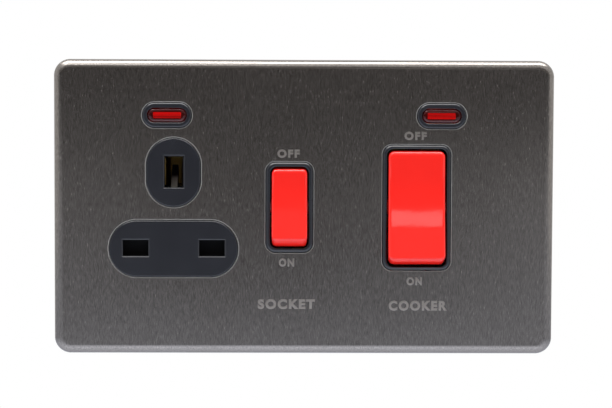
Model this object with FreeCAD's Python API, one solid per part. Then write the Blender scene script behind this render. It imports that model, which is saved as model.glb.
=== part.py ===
import FreeCAD, Part
import math
import os

from FreeCAD import Vector

# A wall-mounted cooker control unit: a clip-on metal front plate over a black moulding that holds
# a switched three-pin socket, a small rocker for the socket, a large rocker for the cooker and two
# neon lights, with the brass work and the cable terminals in a housing behind it.
#
# Millimetres and degrees. X runs to the right, Y into the wall and Z up. The origin lies in the
# plane of the wall, midway between the two screws that hold the unit to its wall box.
# Both rockers are drawn switched off, with their top ends pressed in.

# Front plate: one pressed steel sheet with rolled edges
PLATE_WIDTH = 146.0
PLATE_HEIGHT = 86.0
PLATE_DEPTH = 5.0
SHEET = 1.0
PLATE_CORNER = 4.8
PLATE_ROLL = 2.2
WINDOW_BEVEL = 0.3
CLIP_LENGTH = 8.0
CLIP_REACH = 0.8
CLIP_THICKNESS = 0.8
CLIP_X = 45.0
CLIP_Z = 24.0

# Clearances
INSERT_GAP = 0.3
FIT = 0.15
RUN = 0.3
PIVOT_CLEARANCE = 0.06

# Front moulding: web behind the plate, skirt to the wall, bosses that show through the windows
WEB = 2.2
SKIRT = 1.8
BOSS_PROUD = 0.6
BOSS_EDGE = 0.35
WELL_WALL = 1.4
WELL_BACK = 4.0
SCREW_PITCH = 120.6
SCREW_HOLE_RADIUS = 2.0
PILLAR = 7.6
HOOK_LENGTH = 8.0
HOOK = 1.4
HOOK_BARB = 1.0
HOOK_REACH = 9.0
HOOK_X = -18.0
HOOK_Z = 17.0

# Three-pin socket
SOCKET_X = -38.1
EARTH_Z = 10.1
PIN_PITCH = 22.23
EARTH_RISE = 22.23
EARTH_WINDOW_WIDTH = 16.5
EARTH_WINDOW_HEIGHT = 20.8
PIN_WINDOW_WIDTH = 38.3
PIN_WINDOW_HEIGHT = 17.2
EARTH_SLOT_WIDTH = 5.4
EARTH_SLOT_HEIGHT = 9.2
PIN_SLOT_WIDTH = 7.5
PIN_SLOT_HEIGHT = 4.8
SLOT_BEVEL = 0.6
EARTH_PIN_HEIGHT = 8.0

# Safety shutter and its return spring
SHUTTER = 2.2
SHUTTER_LAP = 1.2
SHUTTER_END_LAP = 0.6
SHUTTER_STEM_WIDTH = 6.0
RAMP_WIDTH = 1.8
RAMP_LAND = 1.0
RAMP_ROOT = 2.0
SHUTTER_SPRING_RADIUS = 0.9
SHUTTER_SPRING_TURNS = 5
GUIDE_WIDTH = 1.4

# Rocker switches, sizes common to both
BEZEL_CORNER = 2.7
ROCKER_PROUD = 0.3
ROCKER_EDGE = 0.45
ROCKER_SKIN = 2.2
ROCKER_WALL = 1.5
ROCKER_BACK = 1.5
ROCKER_END_GAP = 0.35
CREASE_RADIUS = 25.0
PIVOT_Y = -1.0
TRUNNION_RADIUS = 1.5
TRUNNION_BITE = 1.1
SHOULDER = 4.2
SHOULDER_HEIGHT = 0.2
STEM_WALL = 0.8
STEM_REACH = 8.0
BORE_TOP = 1.5
PLUNGER_SEAT = 4.5
SPRING_WIRE = 0.4
SPRING_TURNS = 4
SEESAW_Y = 12.0
ARM = 1.0
BEAD_RADIUS = 1.0
TIP_HEIGHT = 0.7
TIP_GAP = 0.1
ARM_GAP = 0.15
PLUNGER_GAP = 0.1

# Socket switch
SOCKET_SWITCH_X = -4.3
SOCKET_BEZEL_WIDTH = 14.6
SOCKET_BEZEL_HEIGHT = 27.2
SOCKET_ROCKER_WIDTH = 10.6
SOCKET_ROCKER_HEIGHT = 22.8
SOCKET_SWING = 7.5
SOCKET_POLE = 2.9
SOCKET_PLUNGER = 1.2
SOCKET_ARM_LENGTH = 9.0
SOCKET_ARM_WIDTH = 3.8
SOCKET_TILT = 8.0
SOCKET_TIP = 2.6

# Cooker switch
COOKER_SWITCH_X = 32.85
COOKER_BEZEL_WIDTH = 20.7
COOKER_BEZEL_HEIGHT = 37.4
COOKER_ROCKER_WIDTH = 16.9
COOKER_ROCKER_HEIGHT = 33.5
COOKER_SWING = 5.5
COOKER_POLE = 4.6
COOKER_PLUNGER = 1.6
COOKER_ARM_LENGTH = 12.0
COOKER_ARM_WIDTH = 5.0
COOKER_TILT = 7.0
COOKER_TIP = 3.6

# Neon lights
NEON_X = 40.0
NEON_Z = 26.75
NEON_WINDOW_WIDTH = 15.1
NEON_WINDOW_HEIGHT = 8.1
LENS_WIDTH = 11.6
LENS_HEIGHT = 4.4
LENS_PROUD = 0.25
LENS_FLANGE = 0.6
LENS_FLANGE_RIM = 0.8
LAMP_GAP = 0.2
LAMP_RADIUS = 1.3
LAMP_LENGTH = 9.0
RESISTOR_RADIUS = 1.0
RESISTOR_LENGTH = 6.0
LEAD_RADIUS = 0.35
LEAD_GAP = 3.5
LEAD_RISE = 1.8
LEAD_STANDOFF = 2.6

# Brass strip, sprung contacts and terminals
STRIP = 1.0
STRIP_WIDTH = 4.0
OUTLET_RUN_Z = -5.0
LEAF = 0.8
JAW_WIDTH = 6.4
JAW_MOUTH = 4.0
JAW_PINCH = 3.4
JAW_ROOT = 4.4
JAW_FRONT_Y = 4.0
JAW_PINCH_Y = 7.5
NEUTRAL_RUN_Z = -23.0
NEUTRAL_LINK_Z = 15.0
NEUTRAL_LINK_HEIGHT = 3.0
LIVE_RUN_Y = 6.0
LIVE_RUN_Z = 24.0
EARTH_STRIP_Y = 17.4
EARTH_RUN_Z = 19.5
TERMINAL_SPREAD = 7.5
TERMINAL_WIDTH = 10.5
TERMINAL_HEIGHT = 10.5
TERMINAL_BACK = 25.5
TERMINAL_BORE = 3.25
TERMINAL_BORE_Y = 19.5
TERMINAL_EDGE = 1.0
EARTH_TERMINAL_X = 10.0
EARTH_TERMINAL_WIDTH = 13.0
EARTH_TERMINAL_BACK = 26.5
EARTH_BORE = 2.6
EARTH_BORE_Y = 22.3
EARTH_BORE_SPREAD = 3.2
EARTH_SPRING_WIDTH = 4.0
EARTH_SPRING = 0.6
EARTH_SPRING_FOOT = 3.0

# Rear housing
HOUSING_WIDTH = 112.0
HOUSING_HALF = 31.0
HOUSING_BACK = 29.0
HOUSING_WALL = 2.0
HOUSING_CORNER = 2.5

# Depths that follow from the sizes above
FACE_Y = -PLATE_DEPTH
WEB_FRONT = FACE_Y + SHEET
WEB_BACK = WEB_FRONT + WEB
BOSS_Y = FACE_Y - BOSS_PROUD
SHUTTER_Y = (WEB_BACK + RUN, WEB_BACK + RUN + SHUTTER)
FLOOR_Y = SHUTTER_Y[1] + RUN
MIDDLE_Y = (WEB_BACK + FLOOR_Y) / 2
STRIP_Y = (SEESAW_Y + ARM / 2 + ARM_GAP, SEESAW_Y + ARM / 2 + ARM_GAP + STRIP)
PAD_FRONT = SEESAW_Y + ARM / 2 + TIP_HEIGHT + TIP_GAP
PAD_Y = (PAD_FRONT, PAD_FRONT + STRIP)
EARTH_Y = (EARTH_STRIP_Y, EARTH_STRIP_Y + STRIP)

# Places that follow from the sizes above
LINE_Z = EARTH_Z - EARTH_RISE
LIVE_X = SOCKET_X + PIN_PITCH / 2
NEUTRAL_X = SOCKET_X - PIN_PITCH / 2
TERMINAL_Z = HOUSING_HALF - TERMINAL_EDGE - TERMINAL_HEIGHT
SHUTTER_TRAVEL = PIN_SLOT_HEIGHT + SHUTTER_LAP + RUN


def around(centre, size):
    """The low and high value of a size set about its centre."""
    return (centre - size / 2, centre + size / 2)


def block(x, y, z):
    """A box from the low and high value on each axis."""
    return Part.makeBox(x[1] - x[0], y[1] - y[0], z[1] - z[0], Vector(x[0], y[0], z[0]))


def rounded(width, height, radius, y, x=0.0, z=0.0):
    """A prism along Y with rounded corners; its ends are half circles where the radius is half a side."""
    side, rise = width / 2 - radius, height / 2 - radius
    edges = []
    last = None
    for turn, (across, up) in enumerate(((side, rise), (-side, rise), (-side, -rise), (side, -rise))):
        centre = Vector(x + across, y[0], z + up)
        angles = [math.pi / 2 * turn + math.pi / 4 * part for part in range(3)]
        points = [centre + Vector(math.cos(a), 0, math.sin(a)) * radius for a in angles]
        if last is not None and last.distanceToPoint(points[0]) > 1e-6:
            edges.append(Part.makeLine(last, points[0]))
        edges.append(Part.Arc(*points).toShape())
        last = points[2]
    first = edges[0].Vertexes[0].Point
    if last.distanceToPoint(first) > 1e-6:
        edges.append(Part.makeLine(last, first))
    return Part.Face(Part.Wire(edges)).extrude(Vector(0, y[1] - y[0], 0))


def stadium(width, height, y, x=0.0, z=0.0):
    """A prism along Y whose ends are half circles."""
    return rounded(width, height, min(width, height) / 2, y, x, z)


def rod_x(radius, x, y, z):
    return Part.makeCylinder(radius, x[1] - x[0], Vector(x[0], y, z), Vector(1, 0, 0))


def rod_y(radius, y, x, z):
    return Part.makeCylinder(radius, y[1] - y[0], Vector(x, y[0], z), Vector(0, 1, 0))


def rod_z(radius, z, x, y):
    return Part.makeCylinder(radius, z[1] - z[0], Vector(x, y, z[0]), Vector(0, 0, 1))


def profile_x(points, x):
    """A polygon of (y, z) points, extruded along X."""
    corners = [Vector(x[0], y, z) for y, z in points]
    face = Part.Face(Part.makePolygon(corners + corners[:1]))
    return face.extrude(Vector(x[1] - x[0], 0, 0))


def join(shapes):
    """One solid from shapes that meet."""
    return shapes[0].fuse(list(shapes[1:])).removeSplitter()


def turn_x(shape, angle, y, z=0.0):
    """The shape turned about an axis along X."""
    turned = shape.copy()
    turned.rotate(Vector(0, y, z), Vector(1, 0, 0), angle)
    return turned


def swept(points, radius, sides=6):
    """A wire of a few flats swept along straight runs, with mitred corners."""
    along = (points[1] - points[0]).normalize()
    across = along.cross(Vector(0.3, 0.5, 0.8)).normalize()
    up = along.cross(across).normalize()
    angles = [2 * math.pi * (side + 0.5) / sides for side in range(sides)]
    ring = [points[0] + across * (radius * math.cos(a)) + up * (radius * math.sin(a)) for a in angles]
    section = Part.makePolygon(ring + ring[:1])
    return Part.makePolygon(points).makePipeShell([section], True, False, 1)


def coil(radius, wire, length, turns):
    """A compression spring along Z from the origin, each turn drawn with a few straight runs."""
    per_turn = 6
    count = turns * per_turn
    rise = (length - wire) / count
    points = []
    for step in range(count + 1):
        angle = 2 * math.pi * step / per_turn
        points.append(Vector(radius * math.cos(angle), radius * math.sin(angle), wire / 2 + rise * step))
    return swept(points, wire / 2, 4)


def flat_edges(shape, y):
    """The edges of a shape that lie in one plane across Y."""
    boxes = [(e, e.BoundBox) for e in shape.Edges]
    return [e for e, box in boxes if max(abs(box.YMin - y), abs(box.YMax - y)) < 1e-5]


def rim_edges(shape, y, width, height, x, z):
    """The edges in one plane across Y that run round an opening of a given size and place."""
    reach_x, reach_z = width / 2 + 1e-3, height / 2 + 1e-3
    middles = [(e, e.BoundBox.Center) for e in flat_edges(shape, y)]
    return [e for e, c in middles if abs(c.x - x) < reach_x and abs(c.z - z) < reach_z]


class Switch:
    """A double-pole rocker switch: its own sizes, and what follows from them."""

    def __init__(self, name, x, bezel, rocker, swing, pole, plunger, arm, tilt, tip):
        self.name = name
        self.x = x
        self.bezel_width, self.bezel_height = bezel
        self.rocker_width, self.rocker_height = rocker
        self.swing = swing
        self.pole = pole
        self.plunger = plunger
        self.bore = plunger + FIT
        self.stem = plunger + FIT + STEM_WALL
        self.arm_length, self.arm_width = arm
        self.tilt = tilt
        self.tip = tip
        self.face = PIVOT_Y - (BOSS_Y - ROCKER_PROUD)
        self.end_radius = math.hypot(self.rocker_height / 2, self.face)
        self.boss_width = self.bezel_width - 2 * INSERT_GAP
        self.boss_height = self.bezel_height - 2 * INSERT_GAP
        self.well_width = self.rocker_width + 2 * RUN
        self.well_radius = self.end_radius + ROCKER_END_GAP
        self.tube_width = self.boss_width
        self.tube_height = 2 * (self.well_radius + WELL_WALL)
        self.tip_z = self.arm_length - 0.7 * self.tip
        nose = (ARM / 2 + self.plunger + PLUNGER_GAP) / math.cos(math.radians(self.tilt))
        self.nose_y = SEESAW_Y - nose
        self.left = self.x - self.pole
        self.right = self.x + self.pole


SOCKET_SWITCH = Switch(
    "socket",
    SOCKET_SWITCH_X,
    (SOCKET_BEZEL_WIDTH, SOCKET_BEZEL_HEIGHT),
    (SOCKET_ROCKER_WIDTH, SOCKET_ROCKER_HEIGHT),
    SOCKET_SWING,
    SOCKET_POLE,
    SOCKET_PLUNGER,
    (SOCKET_ARM_LENGTH, SOCKET_ARM_WIDTH),
    SOCKET_TILT,
    SOCKET_TIP,
)
COOKER_SWITCH = Switch(
    "cooker",
    COOKER_SWITCH_X,
    (COOKER_BEZEL_WIDTH, COOKER_BEZEL_HEIGHT),
    (COOKER_ROCKER_WIDTH, COOKER_ROCKER_HEIGHT),
    COOKER_SWING,
    COOKER_POLE,
    COOKER_PLUNGER,
    (COOKER_ARM_LENGTH, COOKER_ARM_WIDTH),
    COOKER_TILT,
    COOKER_TIP,
)
SWITCHES = (SOCKET_SWITCH, COOKER_SWITCH)

# Windows in the plate: width, height, corner radius, x and z
WINDOWS = [
    (EARTH_WINDOW_WIDTH, EARTH_WINDOW_HEIGHT, EARTH_WINDOW_WIDTH / 2, SOCKET_X, EARTH_Z),
    (PIN_WINDOW_WIDTH, PIN_WINDOW_HEIGHT, PIN_WINDOW_HEIGHT / 2, SOCKET_X, LINE_Z),
    (NEON_WINDOW_WIDTH, NEON_WINDOW_HEIGHT, NEON_WINDOW_HEIGHT / 2, -NEON_X, NEON_Z),
    (NEON_WINDOW_WIDTH, NEON_WINDOW_HEIGHT, NEON_WINDOW_HEIGHT / 2, NEON_X, NEON_Z),
] + [(s.bezel_width, s.bezel_height, BEZEL_CORNER, s.x, 0.0) for s in SWITCHES]

# Clips: centre x, centre z and the way out of the plate for each tab on its rim
CLIPS = [(x, up * PLATE_HEIGHT / 2, 0, up) for x in (-CLIP_X, CLIP_X) for up in (-1, 1)]
CLIPS += [(side * PLATE_WIDTH / 2, z, side, 0) for z in (-CLIP_Z, CLIP_Z) for side in (-1, 1)]

# Hooks on the moulding that hold the rear housing: middle x and z, and the way out of the housing
HOOKS = [(HOOK_X, side * HOUSING_HALF, 0, side) for side in (-1, 1)]
HOOKS += [(side * HOUSING_WIDTH / 2, up * HOOK_Z, side, 0) for side in (-1, 1) for up in (-1, 1)]


def clip_box(clip, length, reach, thickness):
    """A tab on the plate's rim, or the notch for it, from the sheet's inner face inwards."""
    x, z, out_x, out_z = clip
    inner_x, inner_z = x - out_x * SHEET, z - out_z * SHEET
    y = (-thickness, 0.0)
    if out_x:
        return block(sorted((inner_x, inner_x - out_x * reach)), y, around(z, length))
    return block(around(x, length), y, sorted((inner_z, inner_z - out_z * reach)))


def hook_box(hook, length, y, low, high):
    """A box beside a wall of the housing, between two distances out from that wall."""
    x, z, out_x, out_z = hook
    if out_x:
        return block(sorted((x + out_x * low, x + out_x * high)), y, around(z, length))
    return block(around(x, length), y, sorted((z + out_z * low, z + out_z * high)))


def hooks():
    """Arms along the housing's walls, each with a barb that drops into a recess."""
    shapes = []
    barb_y = (HOOK_REACH - HOOK, HOOK_REACH)
    for hook in HOOKS:
        shapes.append(hook_box(hook, HOOK_LENGTH, (WEB_BACK, HOOK_REACH), FIT, FIT + HOOK))
        shapes.append(hook_box(hook, HOOK_LENGTH, barb_y, FIT - HOOK_BARB, FIT + HOOK))
    return shapes


def hook_recesses():
    """The recesses in the housing's walls that the barbs drop into."""
    y = (HOOK_REACH - HOOK - FIT, HOOK_REACH + FIT)
    return [hook_box(hook, HOOK_LENGTH + 2 * FIT, y, -HOOK_BARB, FIT) for hook in HOOKS]


def front_plate():
    """Pressed sheet with a rolled rim, six windows with eased edges, and tabs that clip to the moulding."""
    outer = rounded(PLATE_WIDTH, PLATE_HEIGHT, PLATE_CORNER, (FACE_Y, 0))
    outer = outer.makeFillet(PLATE_ROLL, flat_edges(outer, FACE_Y))
    inside = (PLATE_WIDTH - 2 * SHEET, PLATE_HEIGHT - 2 * SHEET, PLATE_CORNER - SHEET)
    inner = rounded(*inside, (WEB_FRONT, 0))
    inner = inner.makeChamfer(PLATE_ROLL - SHEET, flat_edges(inner, WEB_FRONT))
    plate = outer.cut(inner)
    for width, height, radius, x, z in WINDOWS:
        hole = rounded(width, height, radius, (FACE_Y, WEB_FRONT), x, z)
        plate = plate.cut(hole)
        plate = plate.makeChamfer(WINDOW_BEVEL, rim_edges(plate, FACE_Y, width, height, x, z))
    return join([plate] + [clip_box(clip, CLIP_LENGTH, CLIP_REACH, CLIP_THICKNESS) for clip in CLIPS])


def boss(width, height, radius, x, z):
    """A raised island of the front moulding that fills a window of the plate, with an eased front edge."""
    size = (width - 2 * INSERT_GAP, height - 2 * INSERT_GAP, radius - INSERT_GAP)
    raised = rounded(*size, (BOSS_Y, WEB_BACK), x, z)
    return raised.makeChamfer(BOSS_EDGE, flat_edges(raised, BOSS_Y))


def slot_openings():
    """Width, height, x and z of the plug pins' openings."""
    line = [(PIN_SLOT_WIDTH, PIN_SLOT_HEIGHT, x, LINE_Z) for x in (NEUTRAL_X, LIVE_X)]
    return [(EARTH_SLOT_WIDTH, EARTH_SLOT_HEIGHT, SOCKET_X, EARTH_Z)] + line


def rocker_well(switch):
    """The space a rocker swings in: straight sides, and ends that follow the rocker's arc."""
    sides = block(around(switch.x, switch.well_width), (BOSS_Y, WELL_BACK), around(0, switch.tube_height))
    swing = rod_x(switch.well_radius, around(switch.x, switch.well_width), PIVOT_Y, 0)
    lower = block(
        around(switch.x, switch.well_width), (PIVOT_Y, WELL_BACK), around(0, 2 * switch.well_radius)
    )
    return sides.common(swing).fuse(lower)


def trunnion_slots(switch):
    """Slots in both side walls of a well, open to the rear, that take the rocker's trunnions."""
    radius = TRUNNION_RADIUS + PIVOT_CLEARANCE
    reach = around(switch.x, switch.rocker_width + 2 * (RUN + TRUNNION_BITE + PIVOT_CLEARANCE))
    open_end = block(reach, (PIVOT_Y, WELL_BACK), around(0, 2 * radius))
    return rod_x(radius, reach, PIVOT_Y, 0).fuse(open_end)


def front_moulding():
    """Black moulding: web, skirt, bosses, rocker wells, shutter guide, screw pillars and hooks."""
    inset = SHEET + FIT
    width, height = PLATE_WIDTH - 2 * inset, PLATE_HEIGHT - 2 * inset
    body = rounded(width, height, PLATE_CORNER - inset, (WEB_FRONT, 0))
    body = body.makeChamfer(PLATE_ROLL - SHEET + FIT, flat_edges(body, WEB_FRONT))
    inside = rounded(width - 2 * SKIRT, height - 2 * SKIRT, PLATE_CORNER - inset - SKIRT / 2, (WEB_BACK, 0))
    body = body.cut(inside)
    notch = (CLIP_LENGTH + 4 * FIT, CLIP_REACH + FIT, CLIP_THICKNESS + FIT)
    body = body.cut([clip_box(clip, *notch) for clip in CLIPS])

    screw_x = SCREW_PITCH / 2
    added = [boss(*window) for window in WINDOWS]
    added += [block(around(side * screw_x, PILLAR), (WEB_BACK, 0), around(0, PILLAR)) for side in (-1, 1)]
    added += hooks()
    for switch in SWITCHES:
        tube = (around(switch.x, switch.tube_width), (WEB_BACK, WELL_BACK), around(0, switch.tube_height))
        added.append(block(*tube))
    bar_end = SOCKET_X + shutter_half_width() + RUN
    guide_z = (LINE_Z - PIN_SLOT_HEIGHT / 2 - SHUTTER_LAP - SHUTTER_TRAVEL, LINE_Z + PIN_SLOT_HEIGHT / 2)
    added.append(block((bar_end, bar_end + GUIDE_WIDTH), (WEB_BACK, FLOOR_Y), guide_z))
    body = join([body] + added)

    removed = [block(around(x, w), (BOSS_Y, WEB_BACK), around(z, h)) for w, h, x, z in slot_openings()]
    for switch in SWITCHES:
        removed += [rocker_well(switch), trunnion_slots(switch)]
    for x in (-NEON_X, NEON_X):
        removed.append(stadium(LENS_WIDTH, LENS_HEIGHT, (BOSS_Y, WEB_BACK), x, NEON_Z))
    removed += [rod_y(SCREW_HOLE_RADIUS, (WEB_FRONT, 0), side * screw_x, 0) for side in (-1, 1)]
    spring_x = around(EARTH_TERMINAL_X, EARTH_SPRING_WIDTH + 2 * RUN)
    removed.append(block(spring_x, (WEB_FRONT, WEB_BACK), earth_spring_slot()))
    body = body.cut(removed).removeSplitter()
    lead_ins = [edge for w, h, x, z in slot_openings() for edge in rim_edges(body, BOSS_Y, w, h, x, z)]
    return body.makeChamfer(SLOT_BEVEL, lead_ins)


def earth_spring_slot():
    """Height range of the opening in the web that the plate's earth spring comes through."""
    top = EARTH_RUN_Z + STRIP_WIDTH / 2
    return (top - EARTH_SPRING - RUN, top + EARTH_SPRING_FOOT + RUN)


def rocker(switch):
    """Rocker cap with trunnions and two spring stems, drawn level and then turned to its off position."""
    swing = math.radians(switch.swing)
    half, face, radius = switch.rocker_height / 2, switch.face, switch.end_radius
    tip = (face * math.cos(swing) + half * math.sin(swing), half * math.cos(swing) - face * math.sin(swing))
    heel_z = math.sqrt(radius**2 - ROCKER_BACK**2)
    blend = CREASE_RADIUS * math.tan(swing)
    crease = face / math.cos(swing)
    along = (math.sin(swing), math.cos(swing))
    start = (crease + blend * along[0], blend * along[1])
    middle = crease + CREASE_RADIUS * (1 / math.cos(swing) - 1)
    x = around(switch.x, switch.rocker_width)

    def at(forward, z):
        return Vector(x[0], PIVOT_Y - forward, z)

    def arc_to_heel(side):
        tip_angle = math.atan2(tip[1], tip[0])
        heel_angle = math.atan2(heel_z, -ROCKER_BACK)
        angles = (tip_angle, (tip_angle + heel_angle) / 2, heel_angle)
        points = [at(radius * math.cos(a), side * radius * math.sin(a)) for a in angles]
        return Part.Arc(*points).toShape()

    edges = [
        Part.makeLine(at(tip[0], tip[1]), at(*start)),
        Part.Arc(at(*start), at(middle, 0), at(start[0], -start[1])).toShape(),
        Part.makeLine(at(start[0], -start[1]), at(tip[0], -tip[1])),
        arc_to_heel(-1),
        Part.makeLine(at(-ROCKER_BACK, -heel_z), at(-ROCKER_BACK, heel_z)),
        arc_to_heel(1),
    ]
    section = Part.Face(Part.Wire(Part.__sortEdges__(edges)))
    cap = section.extrude(Vector(switch.rocker_width, 0, 0))
    across = [e for e in cap.Edges if e.BoundBox.XLength > ROCKER_WALL]
    corners = [e for e in across if abs(abs(e.CenterOfMass.z) - tip[1]) < 1e-6]
    along_sides = [e for e in cap.Edges if e.BoundBox.XLength < 1e-6]
    front_sides = [e for e in along_sides if e.BoundBox.YMax < PIVOT_Y - crease + ROCKER_EDGE]
    cap = cap.makeChamfer(ROCKER_EDGE, corners + front_sides)

    pocket_z = 2 * (tip[1] - ROCKER_WALL - ROCKER_EDGE)
    pocket_x = around(switch.x, switch.rocker_width - 2 * ROCKER_WALL)
    skin_y = PIVOT_Y - face + ROCKER_SKIN
    cap = cap.cut(block(pocket_x, (skin_y, PIVOT_Y + ROCKER_BACK), around(0, pocket_z)))
    stem_y = (skin_y, PIVOT_Y + STEM_REACH)
    poles = (switch.left, switch.right)
    added = [block(around(pole, 2 * switch.stem), stem_y, around(0, 2 * switch.stem)) for pole in poles]
    for side in (-1, 1):
        wall = switch.x + side * switch.rocker_width / 2
        inner = wall - side * ROCKER_WALL
        added.append(rod_x(TRUNNION_RADIUS, sorted((inner, wall + side * (RUN + TRUNNION_BITE))), PIVOT_Y, 0))
        shoulder = sorted((inner, wall + side * SHOULDER_HEIGHT))
        added.append(block(shoulder, around(PIVOT_Y, 2 * ROCKER_BACK), around(0, SHOULDER)))
    cap = join([cap] + added)
    bore_y = (PIVOT_Y - BORE_TOP, PIVOT_Y + STEM_REACH)
    bore = 2 * switch.bore
    cap = cap.cut([block(around(pole, bore), bore_y, around(0, bore)) for pole in poles])
    return turn_x(cap, -switch.swing, PIVOT_Y)


def plunger(switch, pole):
    """Square pin with a rounded nose that the spring in the rocker's stem pushes onto the see-saw."""
    x = around(pole, 2 * switch.plunger)
    pin = block(x, (PIVOT_Y + PLUNGER_SEAT, switch.nose_y), around(0, 2 * switch.plunger))
    return turn_x(join([pin, rod_x(switch.plunger, x, switch.nose_y, 0)]), -switch.swing, PIVOT_Y)


def plunger_spring(switch, pole):
    """Coil between the end of the stem's bore and the plunger."""
    length = PLUNGER_SEAT + BORE_TOP
    spring = coil(switch.plunger - SPRING_WIRE, SPRING_WIRE, length, SPRING_TURNS)
    spring.rotate(Vector(0, 0, 0), Vector(1, 0, 0), -90)
    spring.translate(Vector(pole, PIVOT_Y - BORE_TOP, 0))
    return turn_x(spring, -switch.swing, PIVOT_Y)


def seesaw(switch, pole):
    """Bent contact arm that rocks on a bead behind it, with a silver pad behind its upper end."""
    x = around(pole, switch.arm_width)
    thickness = around(SEESAW_Y, ARM)
    upper = block(x, thickness, (0, switch.arm_length))
    pad_y = (SEESAW_Y + ARM / 2, SEESAW_Y + ARM / 2 + TIP_HEIGHT)
    upper = upper.fuse(block(around(pole, switch.tip), pad_y, around(switch.tip_z, switch.tip)))
    lower = block(x, thickness, (-switch.arm_length, 0))
    bead_room = block(x, (SEESAW_Y, SEESAW_Y + BEAD_RADIUS), around(0, 2 * BEAD_RADIUS))
    bead = rod_x(BEAD_RADIUS, x, SEESAW_Y, 0).common(bead_room)
    arm = join([turn_x(upper, switch.tilt, SEESAW_Y), turn_x(lower, -switch.tilt, SEESAW_Y), bead])
    return turn_x(arm, switch.tilt, SEESAW_Y)


def cradle(switch, pole):
    """Groove in a strip that a see-saw's bead rocks in."""
    return rod_x(BEAD_RADIUS + PIVOT_CLEARANCE, around(pole, switch.arm_width + 2 * STRIP), SEESAW_Y, 0)


def shutter_half_width():
    return PIN_PITCH / 2 + PIN_SLOT_WIDTH / 2 + SHUTTER_END_LAP


def shutter():
    """Sliding plate that closes the two lower slots, with a ramp that the earth pin pushes down."""
    bar_z = around(LINE_Z, PIN_SLOT_HEIGHT + 2 * SHUTTER_LAP)
    bar = block(around(SOCKET_X, 2 * shutter_half_width()), SHUTTER_Y, bar_z)
    foot = EARTH_Z - EARTH_PIN_HEIGHT / 2 - RUN
    stem = block(around(SOCKET_X, SHUTTER_STEM_WIDTH), SHUTTER_Y, (bar_z[1], foot - RAMP_ROOT / 2))
    deep = SHUTTER_Y[0] + SHUTTER_TRAVEL
    ramp = profile_x(
        [
            (SHUTTER_Y[0], foot - RAMP_ROOT),
            (SHUTTER_Y[0], foot),
            (deep, foot + SHUTTER_TRAVEL),
            (deep + RAMP_LAND, foot + SHUTTER_TRAVEL),
            (deep + RAMP_LAND, foot - RAMP_ROOT),
        ],
        around(SOCKET_X, RAMP_WIDTH),
    )
    return join([bar, stem, ramp])


def shutter_spring():
    """Coil between the foot of the housing and the shutter."""
    foot = -HOUSING_HALF + HOUSING_WALL
    top = LINE_Z - PIN_SLOT_HEIGHT / 2 - SHUTTER_LAP
    spring = coil(SHUTTER_SPRING_RADIUS, SPRING_WIRE, top - foot, SHUTTER_SPRING_TURNS)
    spring.translate(Vector(SOCKET_X, MIDDLE_Y, foot))
    return spring


def leaf_points(root_y):
    """Half of a sprung jaw in section: (depth, distance from the pin's middle) round one leaf."""
    inner = [(root_y, JAW_ROOT / 2), (JAW_PINCH_Y, JAW_PINCH / 2), (JAW_FRONT_Y, JAW_MOUTH / 2 + LEAF)]
    outer = [(y, reach + LEAF) for y, reach in reversed(inner)]
    return inner + outer


def pin_jaws(x):
    """The two leaves that grip a live or neutral pin from above and below."""
    leaves = []
    for side in (-1, 1):
        points = [(y, LINE_Z + side * reach) for y, reach in leaf_points(STRIP_Y[0])]
        leaves.append(profile_x(points, around(x, JAW_WIDTH)))
    root = block(around(x, JAW_WIDTH), STRIP_Y, around(LINE_Z, JAW_ROOT + 2 * LEAF))
    return leaves + [root]


def earth_jaws():
    """The two leaves that grip the earth pin from either side."""
    leaves = []
    z = around(EARTH_Z, EARTH_PIN_HEIGHT)
    for side in (-1, 1):
        corners = [Vector(SOCKET_X + side * reach, y, z[0]) for y, reach in leaf_points(EARTH_Y[0])]
        face = Part.Face(Part.makePolygon(corners + corners[:1]))
        leaves.append(face.extrude(Vector(0, 0, z[1] - z[0])))
    root = block(around(SOCKET_X, JAW_ROOT + 2 * LEAF), EARTH_Y, z)
    return leaves + [root]


# Flat runs of brass strip, each a list of (x range, y range, z range)


def live_outlet_runs():
    """From the live see-saw's cradle to the socket's live jaws."""
    pole = SOCKET_SWITCH.left
    edge = SOCKET_ARM_WIDTH / 2
    return [
        (around(pole, SOCKET_ARM_WIDTH), STRIP_Y, (OUTLET_RUN_Z, STRIP_WIDTH / 2)),
        ((LIVE_X - STRIP_WIDTH / 2, pole + edge), STRIP_Y, around(OUTLET_RUN_Z, STRIP_WIDTH)),
        (around(LIVE_X, STRIP_WIDTH), STRIP_Y, (LINE_Z, OUTLET_RUN_Z)),
    ]


def neutral_outlet_runs():
    """From the neutral see-saw's cradle, under the live jaws, to the socket's neutral jaws."""
    pole = SOCKET_SWITCH.right
    edge = SOCKET_ARM_WIDTH / 2
    run_z = around(NEUTRAL_RUN_Z, STRIP_WIDTH)
    return [
        ((pole, neutral_lead_x() + STRIP_WIDTH / 4), STRIP_Y, around(OUTLET_RUN_Z, STRIP_WIDTH)),
        (around(pole, SOCKET_ARM_WIDTH), STRIP_Y, (run_z[0], STRIP_WIDTH / 2)),
        ((NEUTRAL_X - STRIP_WIDTH / 2, pole + edge), STRIP_Y, run_z),
        (around(NEUTRAL_X, STRIP_WIDTH), STRIP_Y, (run_z[0], LINE_Z)),
    ]


def neutral_lead_x():
    """Where the socket neon's neutral lead comes down, beside the socket switch's well."""
    return SOCKET_SWITCH.x + SOCKET_SWITCH.tube_width / 2 + LEAD_STANDOFF


def supply_pad(switch, pole, top):
    """Fixed contact behind a see-saw's silver pad, up to a given height."""
    return (around(pole, switch.arm_width), PAD_Y, (switch.tip_z - switch.tip / 2 - RUN, top))


def terminal_x(side):
    return COOKER_SWITCH.x + side * TERMINAL_SPREAD


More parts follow.
